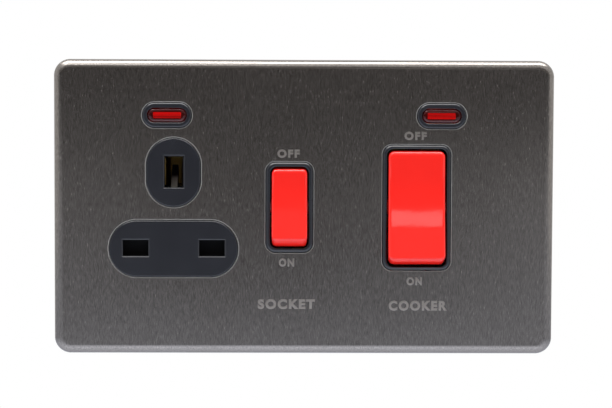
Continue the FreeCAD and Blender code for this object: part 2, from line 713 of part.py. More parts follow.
def terminal_tab(side, up, y):
    """Flat end of a strip that lies under a cable terminal."""
    z = sorted((up * TERMINAL_Z, up * (TERMINAL_Z + TERMINAL_HEIGHT)))
    return (around(terminal_x(side), TERMINAL_WIDTH), y, z)


def neutral_supply_runs():
    """Supply neutral: terminal tab, the cooker's fixed contact, and the link to the socket's."""
    link_z = around(NEUTRAL_LINK_Z, NEUTRAL_LINK_HEIGHT)
    left = SOCKET_SWITCH.right - SOCKET_ARM_WIDTH / 2
    right = COOKER_SWITCH.left + COOKER_ARM_WIDTH / 2
    return [
        terminal_tab(-1, 1, PAD_Y),
        supply_pad(COOKER_SWITCH, COOKER_SWITCH.left, TERMINAL_Z),
        ((left, right), PAD_Y, link_z),
        supply_pad(SOCKET_SWITCH, SOCKET_SWITCH.right, link_z[1]),
    ]


def live_supply_runs():
    """Supply live: as the neutral, with its link folded forward to pass in front of the neutral's tab."""
    top = LIVE_RUN_Z + STRIP_WIDTH / 2
    fold = (LIVE_RUN_Y, PAD_Y[1])
    fold_z = (top - STRIP, top)
    left = around(SOCKET_SWITCH.left, SOCKET_ARM_WIDTH)
    right = around(COOKER_SWITCH.right, COOKER_ARM_WIDTH)
    return [
        terminal_tab(1, 1, PAD_Y),
        supply_pad(COOKER_SWITCH, COOKER_SWITCH.right, TERMINAL_Z),
        (right, fold, fold_z),
        ((left[0], right[1]), (LIVE_RUN_Y, LIVE_RUN_Y + STRIP), around(LIVE_RUN_Z, STRIP_WIDTH)),
        (left, fold, fold_z),
        supply_pad(SOCKET_SWITCH, SOCKET_SWITCH.left, top),
    ]


def load_runs(side):
    """From a cooker see-saw's cradle down to its load terminal, with an ear for the neon's lead."""
    pole = COOKER_SWITCH.x + side * COOKER_SWITCH.pole
    ear = cooker_lead_x(side) + side * STRIP_WIDTH / 4
    return [
        terminal_tab(side, -1, STRIP_Y),
        (around(pole, COOKER_ARM_WIDTH), STRIP_Y, (-TERMINAL_Z, STRIP_WIDTH / 2)),
        (sorted((pole, ear)), STRIP_Y, around(OUTLET_RUN_Z, STRIP_WIDTH)),
    ]


def cooker_lead_x(side):
    """Where the cooker neon's leads come down, beside the cooker switch's well."""
    return COOKER_SWITCH.x + side * (COOKER_SWITCH.tube_width / 2 + LEAD_STANDOFF)


def earth_runs():
    """From the socket's earth jaws over the top of the socket switch and down to the earth terminal."""
    run_z = around(EARTH_RUN_Z, STRIP_WIDTH)
    drop = around(EARTH_TERMINAL_X, STRIP_WIDTH)
    tab_z = (-TERMINAL_Z - TERMINAL_HEIGHT, -TERMINAL_Z)
    return [
        (around(SOCKET_X, JAW_ROOT + 2 * LEAF), EARTH_Y, (EARTH_Z, run_z[1])),
        ((SOCKET_X, drop[1]), EARTH_Y, run_z),
        (drop, EARTH_Y, (-TERMINAL_Z, run_z[1])),
        (around(EARTH_TERMINAL_X, EARTH_TERMINAL_WIDTH), EARTH_Y, tab_z),
    ]


def strip(runs, jaws=(), grooves=()):
    """One stamped and folded piece of brass strip."""
    solid = join([block(*run) for run in runs] + list(jaws))
    return solid.cut(list(grooves)) if grooves else solid


def plate_earth_spring():
    """Bent strip from the earth run forward to the back of the front plate, which it earths."""
    top = EARTH_RUN_Z + STRIP_WIDTH / 2
    x = around(EARTH_TERMINAL_X, EARTH_SPRING_WIDTH)
    leg = block(x, (WEB_FRONT, EARTH_Y[0]), (top - EARTH_SPRING, top))
    foot = block(x, (WEB_FRONT, WEB_FRONT + EARTH_SPRING), (top - EARTH_SPRING, top + EARTH_SPRING_FOOT))
    tail = block(x, (EARTH_Y[0] - EARTH_SPRING, EARTH_Y[0]), (top - EARTH_SPRING_FOOT, top))
    return join([leg, foot, tail])


def terminal(side, up):
    """Brass cable terminal with a bore along Z; its clamp screw goes in from the rear."""
    front = PAD_Y[1] if up > 0 else STRIP_Y[1]
    z = sorted((up * TERMINAL_Z, up * (TERMINAL_Z + TERMINAL_HEIGHT)))
    x = terminal_x(side)
    body = block(around(x, TERMINAL_WIDTH), (front, TERMINAL_BACK), z)
    return body.cut(rod_z(TERMINAL_BORE, z, x, TERMINAL_BORE_Y))


def earth_terminal():
    """Brass earth terminal with two bores side by side."""
    z = (-TERMINAL_Z - TERMINAL_HEIGHT, -TERMINAL_Z)
    body = block(around(EARTH_TERMINAL_X, EARTH_TERMINAL_WIDTH), (EARTH_Y[1], EARTH_TERMINAL_BACK), z)
    places = [EARTH_TERMINAL_X + side * EARTH_BORE_SPREAD for side in (-1, 1)]
    return body.cut([rod_z(EARTH_BORE, z, x, EARTH_BORE_Y) for x in places])


def lens(x):
    """Red lens with a flange at each end that bears on the back of the web."""
    front = BOSS_Y - LENS_PROUD
    face = stadium(LENS_WIDTH - 2 * FIT, LENS_HEIGHT - 2 * FIT, (front, WEB_BACK), x, NEON_Z)
    flange_x = around(x, LENS_WIDTH + 2 * LENS_FLANGE_RIM)
    flange_y = (WEB_BACK, WEB_BACK + LENS_FLANGE)
    return join([face, block(flange_x, flange_y, around(NEON_Z, LENS_HEIGHT - 2 * FIT))])


def lamp_y():
    """Depth of the lamps' axes, behind their lenses."""
    return WEB_BACK + LENS_FLANGE + LAMP_GAP + LAMP_RADIUS


def lamp(x):
    """Glass neon lamp lying behind its lens."""
    return swept([Vector(end, lamp_y(), NEON_Z) for end in around(x, LAMP_LENGTH)], LAMP_RADIUS, 12)


def resistor_x(x, side):
    """Middle of the resistor beside a lamp."""
    return x + side * (LAMP_LENGTH / 2 + LEAD_GAP + RESISTOR_LENGTH / 2)


def resistor(x, side):
    """Ballast resistor in line with the lamp."""
    ends = around(resistor_x(x, side), RESISTOR_LENGTH)
    return swept([Vector(end, lamp_y(), NEON_Z) for end in ends], RESISTOR_RADIUS, 8)


def neon_leads(x, side, near_x, far_x):
    """Three wires: lamp to resistor, resistor to its strip, and the lamp's other end to the second strip."""
    y, z = lamp_y(), NEON_Z
    lamp_end = x + side * LAMP_LENGTH / 2
    other_end = x - side * LAMP_LENGTH / 2
    body_start = resistor_x(x, side) - side * RESISTOR_LENGTH / 2
    body_end = resistor_x(x, side) + side * RESISTOR_LENGTH / 2
    back = STRIP_Y[0]
    short = [Vector(lamp_end, y, z), Vector(body_start, y, z)]
    near = [Vector(body_end, y, z), Vector(near_x, y, z)]
    near += [Vector(near_x, y, OUTLET_RUN_Z), Vector(near_x, back, OUTLET_RUN_Z)]
    far = [Vector(other_end, y, z)]
    if (far_x - other_end) * side > 0:
        over = other_end - side * LEAD_RISE
        far += [Vector(over, y, z), Vector(over, y, z + LEAD_RISE), Vector(far_x, y, z + LEAD_RISE)]
    else:
        far += [Vector(far_x, y, z)]
    far += [Vector(far_x, y, OUTLET_RUN_Z), Vector(far_x, back, OUTLET_RUN_Z)]
    return [swept(route, LEAD_RADIUS) for route in (short, near, far)]


def live_lead_x():
    """Where the socket neon's live lead comes down, on the socket side of the switch's well."""
    return SOCKET_SWITCH.x - SOCKET_SWITCH.tube_width / 2 - LEAD_STANDOFF


def channel(run):
    """The room a run of strip needs in the housing, open to the front."""
    x, y, z = run
    return block((x[0] - FIT, x[1] + FIT), (FLOOR_Y, y[1]), (z[0] - FIT, z[1] + FIT))


def rear_housing():
    """Moulded housing: a shell on the web, with pockets and channels that hold the brass work."""
    body = rounded(HOUSING_WIDTH, 2 * HOUSING_HALF, HOUSING_CORNER, (WEB_BACK, HOUSING_BACK))
    inner_x = around(0, HOUSING_WIDTH - 2 * HOUSING_WALL)
    inner_z = around(0, 2 * (HOUSING_HALF - HOUSING_WALL))
    removed = [block(inner_x, (WEB_BACK, FLOOR_Y), inner_z)]
    for switch in SWITCHES:
        tube_x = around(switch.x, switch.tube_width + 2 * FIT)
        removed.append(block(tube_x, (FLOOR_Y, WELL_BACK), around(0, switch.tube_height + 2 * FIT)))
        for pole in (switch.left, switch.right):
            room = around(pole, 2 * max(switch.stem, switch.arm_width / 2) + 2 * RUN)
            removed.append(block(room, (WELL_BACK, STRIP_Y[0]), around(0, 2 * (switch.arm_length + RUN))))
    removed += [channel(run) for run in all_runs()]

    jaw_height = JAW_ROOT + 4 * LEAF
    for x in (NEUTRAL_X, LIVE_X):
        removed.append(channel((around(x, JAW_WIDTH), STRIP_Y, around(LINE_Z, jaw_height))))
    removed.append(channel((around(SOCKET_X, jaw_height), EARTH_Y, around(EARTH_Z, EARTH_PIN_HEIGHT))))
    ramp_foot = EARTH_Z - EARTH_PIN_HEIGHT / 2 - RUN - RAMP_ROOT - SHUTTER_TRAVEL
    ramp_y = (FLOOR_Y, SHUTTER_Y[0] + SHUTTER_TRAVEL + RAMP_LAND + RUN)
    removed.append(block(around(SOCKET_X, RAMP_WIDTH + 2 * RUN), ramp_y, (ramp_foot - RUN, EARTH_Z)))

    top = EARTH_RUN_Z + STRIP_WIDTH / 2
    removed.append(channel((around(EARTH_TERMINAL_X, EARTH_SPRING_WIDTH), EARTH_Y, (top - STRIP_WIDTH, top))))
    for lead_x in (live_lead_x(), neutral_lead_x(), cooker_lead_x(-1), cooker_lead_x(1)):
        hole = around(lead_x, 2 * (LEAD_RADIUS + FIT))
        removed.append(block(hole, (FLOOR_Y, STRIP_Y[0]), around(OUTLET_RUN_Z, 2 * (LEAD_RADIUS + FIT))))

    edge = HOUSING_HALF + TERMINAL_EDGE
    back = HOUSING_BACK + TERMINAL_EDGE
    for side in (-1, 1):
        for up in (-1, 1):
            front = PAD_Y[1] if up > 0 else STRIP_Y[1]
            z = sorted((up * (TERMINAL_Z - FIT), up * edge))
            removed.append(block(around(terminal_x(side), TERMINAL_WIDTH + 2 * FIT), (front, back), z))
    earth_x = around(EARTH_TERMINAL_X, EARTH_TERMINAL_WIDTH + 2 * FIT)
    removed.append(block(earth_x, (EARTH_Y[1], back), (-edge, -TERMINAL_Z + FIT)))
    lamp_back = (FLOOR_Y, lamp_y() + LAMP_RADIUS)
    lamp_z = around(NEON_Z, 2 * (LAMP_RADIUS + FIT))
    resistor_back = (FLOOR_Y, lamp_y() + RESISTOR_RADIUS)
    resistor_z = around(NEON_Z, 2 * (RESISTOR_RADIUS + FIT))
    for x, side in ((-NEON_X, 1), (NEON_X, -1)):
        removed.append(block(around(x, LAMP_LENGTH + 2 * FIT), lamp_back, lamp_z))
        middle = resistor_x(x, side)
        removed.append(block(around(middle, RESISTOR_LENGTH + 2 * FIT), resistor_back, resistor_z))
    removed += hook_recesses()
    body = body.cut(removed)

    keepers = []
    for switch in SWITCHES:
        for side in (-1, 1):
            wall_x = switch.x + side * switch.well_width / 2
            x = sorted((wall_x, wall_x + side * (TRUNNION_BITE + PIVOT_CLEARANCE)))
            y = (PIVOT_Y + TRUNNION_RADIUS + PIVOT_CLEARANCE, WELL_BACK)
            keepers.append(block(x, y, around(0, 2 * TRUNNION_RADIUS)))
    return join([body] + keepers)


def all_runs():
    """Every run of strip that lies in the housing."""
    runs = live_outlet_runs() + neutral_outlet_runs() + live_supply_runs() + neutral_supply_runs()
    return runs + load_runs(-1) + load_runs(1) + earth_runs()


def sub_parts():
    """Every piece by name; a list is a group of like solids."""
    socket, cooker = SOCKET_SWITCH, COOKER_SWITCH
    pieces = {
        "front_plate": front_plate(),
        "front_moulding": front_moulding(),
        "rear_housing": rear_housing(),
        "shutter": shutter(),
        "shutter_spring": shutter_spring(),
        "live_outlet_contact": strip(live_outlet_runs(), pin_jaws(LIVE_X), [cradle(socket, socket.left)]),
        "neutral_outlet_contact": strip(
            neutral_outlet_runs(), pin_jaws(NEUTRAL_X), [cradle(socket, socket.right)]
        ),
        "earth_contact_bar": strip(earth_runs(), earth_jaws()),
        "live_supply_bar": strip(live_supply_runs()),
        "neutral_supply_bar": strip(neutral_supply_runs()),
        "neutral_load_bar": strip(load_runs(-1), grooves=[cradle(cooker, cooker.left)]),
        "live_load_bar": strip(load_runs(1), grooves=[cradle(cooker, cooker.right)]),
        "supply_neutral_terminal": terminal(-1, 1),
        "supply_live_terminal": terminal(1, 1),
        "load_neutral_terminal": terminal(-1, -1),
        "load_live_terminal": terminal(1, -1),
        "earth_terminal": earth_terminal(),
        "plate_earth_spring": plate_earth_spring(),
    }
    for switch, poles in ((socket, ("live", "neutral")), (cooker, ("neutral", "live"))):
        pieces[f"{switch.name}_rocker"] = rocker(switch)
        for pole_name, pole in zip(poles, (switch.left, switch.right)):
            name = f"{switch.name}_{pole_name}"
            pieces[f"{name}_plunger"] = plunger(switch, pole)
            pieces[f"{name}_plunger_spring"] = plunger_spring(switch, pole)
            pieces[f"{name}_seesaw"] = seesaw(switch, pole)
    lead_ends = {
        "socket": (-NEON_X, 1, live_lead_x(), neutral_lead_x()),
        "cooker": (NEON_X, -1, cooker_lead_x(-1), cooker_lead_x(1)),
    }
    for name, (x, side, near_x, far_x) in lead_ends.items():
        pieces[f"{name}_neon_lens"] = lens(x)
        pieces[f"{name}_neon_lamp"] = lamp(x)
        pieces[f"{name}_neon_resistor"] = resistor(x, side)
        pieces[f"{name}_neon_leads"] = neon_leads(x, side, near_x, far_x)
    return pieces


def main():
    os.makedirs("parts", exist_ok=True)
    for name, shape in sub_parts().items():
        solid = Part.makeCompound(shape) if isinstance(shape, list) else shape
        solid.exportStep(f"parts/{name}.step")


main()
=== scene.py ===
import math

import bmesh
import bpy
from mathutils import Matrix, Vector


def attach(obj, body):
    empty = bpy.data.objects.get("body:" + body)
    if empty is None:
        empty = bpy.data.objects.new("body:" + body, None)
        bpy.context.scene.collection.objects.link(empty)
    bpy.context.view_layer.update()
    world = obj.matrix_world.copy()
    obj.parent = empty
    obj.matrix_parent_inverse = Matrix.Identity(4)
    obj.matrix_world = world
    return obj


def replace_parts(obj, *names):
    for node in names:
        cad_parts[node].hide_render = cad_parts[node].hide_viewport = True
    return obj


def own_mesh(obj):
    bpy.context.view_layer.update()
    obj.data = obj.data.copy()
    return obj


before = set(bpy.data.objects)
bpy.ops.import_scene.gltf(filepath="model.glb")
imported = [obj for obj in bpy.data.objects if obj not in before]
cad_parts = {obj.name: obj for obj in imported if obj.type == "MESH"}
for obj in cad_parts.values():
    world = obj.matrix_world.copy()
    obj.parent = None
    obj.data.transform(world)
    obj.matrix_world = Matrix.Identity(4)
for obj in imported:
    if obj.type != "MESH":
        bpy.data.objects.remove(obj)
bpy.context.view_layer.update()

# Rear housing. A deep box moulded in black thermoset, with open pockets for the cable terminals
# along its top and bottom edges and an eased outline at the back. Six hooks on the front moulding
# hold it.
MM = 0.001
MERGE = 1e-4
HOUSING_BACK = 29.0
HOUSING_EASE = 0.5
# A wall of the outline, or of its rounded corners, lies beyond one of these half sizes, looks
# outwards, and stands square to the back.
OUTLINE_X, OUTLINE_Z = 53.4, 30.9
OUTWARD, OUT_OF_SQUARE = 30.0, 0.1


def linear(hex_colour):
    """An sRGB hex colour as linear red, green, blue and alpha."""
    parts = [int(hex_colour[i : i + 2], 16) / 255 for i in (1, 3, 5)]
    return (*[c / 12.92 if c <= 0.04045 else ((c + 0.055) / 1.055) ** 2.4 for c in parts], 1.0)


def add(tree, kind, sockets, **settings):
    """Adds one shader node with its settings, and sets or links each socket that is named."""
    made = tree.nodes.new(kind)
    for name, value in settings.items():
        setattr(made, name, value)
    for socket, value in sockets.items():
        if isinstance(value, bpy.types.NodeSocket):
            tree.links.new(value, made.inputs[socket])
        else:
            made.inputs[socket].default_value = value
    return made


def finish(name, **values):
    """A new material, with its shader's constant values set, and its nodes ready for a pattern."""
    made = bpy.data.materials.new(name)
    made.use_nodes = True
    shader = made.node_tree.nodes["Principled BSDF"]
    for socket, value in values.items():
        shader.inputs[socket.replace("_", " ")].default_value = value
    return made, made.node_tree, shader


# Moulded thermoset: satin black with a slight blue cast, from a fine spark-eroded tool, so its
# gloss is broken up at about a fifth of a millimetre and drifts a little over the surface.
black_thermoset, tree, shader = finish("black_thermoset", IOR=1.5)
place = add(tree, "ShaderNodeTexCoord", {}).outputs["Object"]
grain = add(tree, "ShaderNodeTexNoise", {"Vector": place, "Scale": 1 / (0.22 * MM), "Detail": 2.0})
flow = add(tree, "ShaderNodeTexNoise", {"Vector": place, "Scale": 1 / (9 * MM), "Detail": 3.0})
gloss = add(tree, "ShaderNodeMapRange", {"Value": flow.outputs[0], "To Min": 0.22, "To Max": 0.3})
tone = add(
    tree,
    "ShaderNodeMix",
    {0: flow.outputs[0], 6: linear("#17181d"), 7: linear("#1e1f24")},
    data_type="RGBA",
)
pits = add(
    tree, "ShaderNodeBump", {"Height": grain.outputs[0], "Strength": 0.12, "Distance": 0.02 * MM}
)
tree.links.new(tone.outputs[2], shader.inputs["Base Color"])
tree.links.new(gloss.outputs[0], shader.inputs["Roughness"])
tree.links.new(pits.outputs[0], shader.inputs["Normal"])


def piece(name, bm, material, body, sharp=32.0):
    """Makes a piece from a mesh drawn in millimetres, and lets it move with a body of the frame."""
    bmesh.ops.scale(bm, vec=(MM, MM, MM), verts=bm.verts)
    mesh = bpy.data.meshes.new(name)
    bm.to_mesh(mesh)
    bm.free()
    # A copy of a solid brings stored normals, which would hide the smoothing that is set here.
    if "custom_normal" in mesh.attributes:
        mesh.attributes.remove(mesh.attributes["custom_normal"])
    mesh.shade_smooth()
    mesh.set_sharp_from_angle(angle=math.radians(sharp))
    mesh.materials.append(material)
    made = bpy.data.objects.new(name, mesh)
    bpy.context.scene.collection.objects.link(made)
    flats = made.modifiers.new("flat faces shade flat", "WEIGHTED_NORMAL")
    flats.keep_sharp = True
    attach(made, body)
    return made


def solid_copy(node):
    """A copy of a solid of the frame in millimetres, with its triangles joined up."""
    bm = bmesh.new()
    bm.from_mesh(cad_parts[node].data)
    bmesh.ops.scale(bm, vec=(1 / MM, 1 / MM, 1 / MM), verts=bm.verts)
    bmesh.ops.remove_doubles(bm, verts=bm.verts, dist=MERGE)
    return bm


def outer_wall(face):
    """Whether a face belongs to the housing's outline, its rounded corners among it."""
    middle = face.calc_center_median()
    if abs(face.normal.y) > OUT_OF_SQUARE or face.normal.dot(middle) < OUTWARD:
        return False
    return abs(middle.x) > OUTLINE_X or abs(middle.z) > OUTLINE_Z


# Triangles that lie in one plane become one face before the rear outline is eased.
bm = solid_copy("rear_housing")
bmesh.ops.dissolve_limit(bm, angle_limit=math.radians(0.5), verts=bm.verts, edges=bm.edges)
arrises = [e for e in bm.edges if all(abs(v.co.y - HOUSING_BACK) < 1e-3 for v in e.verts)]
arrises = [e for e in arrises if any(outer_wall(f) for f in e.link_faces)]
bmesh.ops.bevel(
    bm,
    geom=arrises,
    offset=HOUSING_EASE,
    segments=4,
    profile=0.5,
    affect="EDGES",
    material=-1,
)
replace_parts(piece("housing", bm, black_thermoset, "unit"), "rear_housing")

# Brass work. Strips stamped and folded from half-hard brass, with sprung jaws for the plug's pins,
# and terminals sawn from brass bar and drilled for the cables. All of it lies in the housing.

# Rolled strip shows fine lines along the sheet and a dull, uneven tarnish over half a centimetre.
brass, tree, shader = finish("stamped_brass", Metallic=1.0)
place = add(tree, "ShaderNodeTexCoord", {}).outputs["Object"]
drawn = add(
    tree,
    "ShaderNodeMapping",
    {"Vector": place, "Scale": (1 / (3 * MM), 1 / (0.2 * MM), 1 / (0.2 * MM))},
)
lines = add(tree, "ShaderNodeTexNoise", {"Vector": drawn.outputs[0], "Scale": 1.0, "Detail": 2.0})
tarnish = add(tree, "ShaderNodeTexNoise", {"Vector": place, "Scale": 1 / (6 * MM), "Detail": 4.0})
tone = add(
    tree,
    "ShaderNodeMix",
    {0: tarnish.outputs[0], 6: linear("#d3b36c"), 7: linear("#b0904f")},
    data_type="RGBA",
)
gloss = add(tree, "ShaderNodeMapRange", {"Value": lines.outputs[0], "To Min": 0.3, "To Max": 0.5})
tree.links.new(tone.outputs[2], shader.inputs["Base Color"])
tree.links.new(gloss.outputs[0], shader.inputs["Roughness"])


def coat(node, material):
    """Gives a solid of the frame its finish."""
    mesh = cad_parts[node].data
    mesh.materials.clear()
    mesh.materials.append(material)


for node in ("live_outlet_contact", "neutral_outlet_contact", "earth_contact_bar"):
    coat(node, brass)
for node in ("plate_earth_spring", "earth_terminal"):
    coat(node, brass)
for pole in ("live", "neutral"):
    for side in ("supply", "load"):
        coat(f"{pole}_{side}_bar", brass)
        coat(f"{side}_{pole}_terminal", brass)
    for switch in ("socket", "cooker"):
        coat(f"{switch}_{pole}_seesaw", brass)

# Clamp screws. Slotted brass screws that go into the terminals from the rear of the unit and press
# the cables in their bores; turned from bar, with an eased rim on the head.
HEAD_STEP = 1.0
HEAD_EASE = 0.25
SLOT_WIDTH = 0.8
TERMINAL_Z = 24.75
# The middle of each head's foot and its radius: the four cable terminals, then the earth terminal.
heads = [(x, 25.5, z, 2.4) for x in (25.35, 40.35) for z in (TERMINAL_Z, -TERMINAL_Z)]
heads += [(x, 26.5, -TERMINAL_Z, 1.9) for x in (6.8, 13.2)]
bm = bmesh.new()
for x, y, z, radius in heads:
    stand = Matrix.Translation((x, y, z)) @ Matrix.Rotation(-math.pi / 2, 4, "X")
    lower = bmesh.ops.create_cone(
        bm,
        cap_ends=True,
        segments=40,
        radius1=radius,
        radius2=radius,
        depth=HEAD_STEP,
        matrix=stand,
    )
    bmesh.ops.translate(bm, verts=lower["verts"], vec=(0, HEAD_STEP / 2, 0))
    # The slot parts the upper half of the head in two.
    for side in (-1, 1):
        half = bmesh.new()
        bmesh.ops.create_circle(half, cap_ends=True, segments=40, radius=radius)
        bmesh.ops.bisect_plane(
            half,
            geom=half.verts[:] + half.edges[:] + half.faces[:],
            plane_co=(side * SLOT_WIDTH / 2, 0, 0),
            plane_no=(-side, 0, 0),
            clear_outer=True,
        )
        raised = bmesh.ops.extrude_face_region(half, geom=half.faces[:])
        tops = [v for v in raised["geom"] if isinstance(v, bmesh.types.BMVert)]
        bmesh.ops.translate(half, verts=tops, vec=(0, 0, HEAD_STEP))
        rim = [e for e in half.edges if all(v.co.z > HEAD_STEP / 2 for v in e.verts)]
        bmesh.ops.bevel(
            half,
            geom=rim,
            offset=HEAD_EASE,
            segments=3,
            profile=0.5,
            affect="EDGES",
            material=-1,
        )
        raise_up = Matrix.Translation((0, HEAD_STEP, 0)) @ stand
        bmesh.ops.transform(half, matrix=raise_up, verts=half.verts)
        bmesh.ops.recalc_face_normals(half, faces=half.faces)
        spare = bpy.data.meshes.new("half head")
        half.to_mesh(spare)
        half.free()
        bm.from_mesh(spare)
        bpy.data.meshes.remove(spare)
piece("clamp_screws", bm, brass, "unit")

# Switch springs and plungers. White acetal plungers slide in the rockers' stems, pushed by coils
# of bright spring wire, and tip the see-saw contacts over.

# Moulded acetal: a waxy, slightly yellowed white with faint flow marks.
white_acetal, tree, shader = finish("white_acetal", IOR=1.48)
place = add(tree, "ShaderNodeTexCoord", {}).outputs["Object"]
flow = add(tree, "ShaderNodeTexNoise", {"Vector": place, "Scale": 1 / (1.5 * MM), "Detail": 2.0})
tone = add(
    tree,
    "ShaderNodeMix",
    {0: flow.outputs[0], 6: linear("#dedbd2"), 7: linear("#cfccc2")},
    data_type="RGBA",
)
tree.links.new(tone.outputs[2], shader.inputs["Base Color"])

# Drawn wire: bright, with fine die marks a few hundredths of a millimetre apart, drawn a little
# coarser than that.
spring_steel, tree, shader = finish(
    "bright_spring_wire", Metallic=1.0, Base_Color=linear("#b4b6b8")
)
place = add(tree, "ShaderNodeTexCoord", {}).outputs["Object"]
marks = add(tree, "ShaderNodeTexNoise", {"Vector": place, "Scale": 1 / (0.08 * MM), "Detail": 1.0})
gloss = add(tree, "ShaderNodeMapRange", {"Value": marks.outputs[0], "To Min": 0.18, "To Max": 0.34})
tree.links.new(gloss.outputs[0], shader.inputs["Roughness"])


def coil(bm, radius, wire, length, turns, place):
    """A round-wire compression spring that starts at the origin, rises along Z, and is placed."""
    stand = Matrix.Translation((radius, 0, wire / 2)) @ Matrix.Rotation(math.pi / 2, 4, "X")
    start = bmesh.ops.create_circle(bm, cap_ends=True, segments=10, radius=wire / 2, matrix=stand)
    steps = turns * 24
    rise = (length - wire) / steps
    section = list({f for v in start["verts"] for f in v.link_faces})
    geom = start["verts"] + list({e for v in start["verts"] for e in v.link_edges}) + section
    earlier = set(bm.verts) - set(start["verts"])
    bmesh.ops.spin(
        bm,
        geom=geom,
        axis=(0, 0, 1),
        cent=(0, 0, 0),
        dvec=(0, 0, rise),
        angle=2 * math.pi * turns,
        steps=steps,
        use_merge=False,
    )
    bmesh.ops.transform(bm, matrix=place, verts=[v for v in bm.verts if v not in earlier])
    bmesh.ops.recalc_face_normals(bm, faces=bm.faces)


WIRE = 0.4
PIVOT_Y = -1.0
PLUNGER_COIL_Y = -1.5
PLUNGER_COIL_LENGTH, PLUNGER_COIL_TURNS = 6.0, 4
# The middle of each switch, how far its poles and their plungers lie from it, a plunger's radius,
# how far the rocker leans when off, and the poles from left to right.
switches = {
    "socket": {
        "x": -4.3,
        "pole": 2.9,
        "plunger": 1.2,
        "swing": math.radians(7.5),
        "poles": ("live", "neutral"),
    },
    "cooker": {
        "x": 32.85,
        "pole": 4.6,
        "plunger": 1.6,
        "swing": math.radians(5.5),
        "poles": ("neutral", "live"),
    },
}
for switch, own in switches.items():
    lean = Matrix.Translation((0, PIVOT_Y, 0)) @ Matrix.Rotation(-own["swing"], 4, "X")
    for pole, side in zip(own["poles"], (-1, 1)):
        coat(f"{switch}_{pole}_plunger", white_acetal)
        seat = Matrix.Translation((own["x"] + side * own["pole"], PLUNGER_COIL_Y, 0))
        stand = lean @ seat @ Matrix.Rotation(-math.pi / 2, 4, "X")
        bm = bmesh.new()
        radius = own["plunger"] - WIRE
        coil(bm, radius, WIRE, PLUNGER_COIL_LENGTH, PLUNGER_COIL_TURNS, stand)
        spring = piece(f"{switch}_{pole}_coil", bm, spring_steel, f"{switch}_rocker")
        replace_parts(spring, f"{switch}_{pole}_plunger_spring")

# Safety shutter. A dark nylon slide that closes the two lower openings of the socket; the earth
# pin presses its ramp down against a coil that stands on the foot of the housing.
SOCKET_X = -38.1
RAMP_TOP, RAMP_PAINTED_LIT, RAMP_FOOT = 9.2, 8.2, 3.5
# Glass-filled nylon: near black, with pale fibres about half a millimetre long at the surface. The
# ramp, above the level of the earth opening's foot, is painted pale grey. This is a painted
# highlight for the light that the sloping ramp catches from above in the earth opening.
dark_nylon, tree, shader = finish("dark_nylon", IOR=1.53, Roughness=0.75, Specular_IOR_Level=0.15)
place = add(tree, "ShaderNodeTexCoord", {}).outputs["Object"]
fibre = add(tree, "ShaderNodeTexNoise", {"Vector": place, "Scale": 1 / (0.5 * MM), "Detail": 3.0})
height = add(tree, "ShaderNodeSeparateXYZ", {"Vector": place}).outputs["Z"]
# Painted highlight: pale grey fades in from the ramp's top downwards, only above its foot.
painted_lit_fade = add(
    tree,
    "ShaderNodeMapRange",
    {"Value": height, "From Min": RAMP_TOP * MM, "From Max": RAMP_PAINTED_LIT * MM},
)
above_foot = add(tree, "ShaderNodeMath", {0: height, 1: RAMP_FOOT * MM}, operation="GREATER_THAN")
ramp = add(tree, "ShaderNodeMath", {0: painted_lit_fade.outputs[0], 1: above_foot.outputs[0]}, operation="MULTIPLY")
tone = add(
    tree,
    "ShaderNodeMix",
    {0: fibre.outputs[0], 6: linear("#070708"), 7: linear("#0e0e10")},
    data_type="RGBA",
)
pale = add(
    tree,
    "ShaderNodeMix",
    {0: ramp.outputs[0], 6: tone.outputs[2], 7: linear("#6d6962")},
    data_type="RGBA",
)
tree.links.new(pale.outputs[2], shader.inputs["Base Color"])
coat("shutter", dark_nylon)
COIL_FOOT = (SOCKET_X, -0.4, -29.0)
SHUTTER_COIL_RADIUS, SHUTTER_COIL_LENGTH, SHUTTER_COIL_TURNS = 0.9, 13.27, 5
bm = bmesh.new()
stand = Matrix.Translation(COIL_FOOT)
coil(bm, SHUTTER_COIL_RADIUS, WIRE, SHUTTER_COIL_LENGTH, SHUTTER_COIL_TURNS, stand)
return_coil = piece("shutter_coil", bm, spring_steel, "unit")
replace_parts(return_coil, "shutter_spring")
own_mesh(return_coil)

# Neon lights. A small glass lamp with a ballast resistor on tinned leads lies behind each clear red
# lens. The lens is moulded acrylic with a domed face, and a flange behind the web holds it.

# Dip-tinned wire: bright, with a slightly lumpy coat.
tinned_copper, tree, shader = finish("tinned_copper", Metallic=1.0, Base_Color=linear("#c4c2bc"))
place = add(tree, "ShaderNodeTexCoord", {}).outputs["Object"]
lumps = add(tree, "ShaderNodeTexNoise", {"Vector": place, "Scale": 1 / (0.6 * MM), "Detail": 2.0})
gloss = add(tree, "ShaderNodeMapRange", {"Value": lumps.outputs[0], "To Min": 0.2, "To Max": 0.4})
tree.links.new(gloss.outputs[0], shader.inputs["Roughness"])

# Dipped lacquer on ceramic: warm beige, a little uneven where the coat is thin.
resistor_coat, tree, shader = finish("resistor_lacquer", Roughness=0.4)
place = add(tree, "ShaderNodeTexCoord", {}).outputs["Object"]
thin = add(tree, "ShaderNodeTexNoise", {"Vector": place, "Scale": 1 / (0.8 * MM), "Detail": 2.0})
tone = add(
    tree,
    "ShaderNodeMix",
    {0: thin.outputs[0], 6: linear("#c8b48a"), 7: linear("#b39c6e")},
    data_type="RGBA",
)
tree.links.new(tone.outputs[2], shader.inputs["Base Color"])

# Blown lamp glass. The lamp is not lit; a faint painted glow in it stands in for light caught
# behind the red lens.
lamp_glass_painted_glow, tree, shader = finish(
    "neon_lamp_glass",
    Roughness=0.12,
    IOR=1.5,
    Emission_Color=linear("#ff3b20"),
    Emission_Strength=0.9,
)
place = add(tree, "ShaderNodeTexCoord", {}).outputs["Object"]
frost = add(tree, "ShaderNodeTexNoise", {"Vector": place, "Scale": 1 / (0.7 * MM), "Detail": 2.0})
tone = add(
    tree,
    "ShaderNodeMix",
    {0: frost.outputs[0], 6: linear("#f0c8b8"), 7: linear("#e0a890")},
    data_type="RGBA",
)
tree.links.new(tone.outputs[2], shader.inputs["Base Color"])

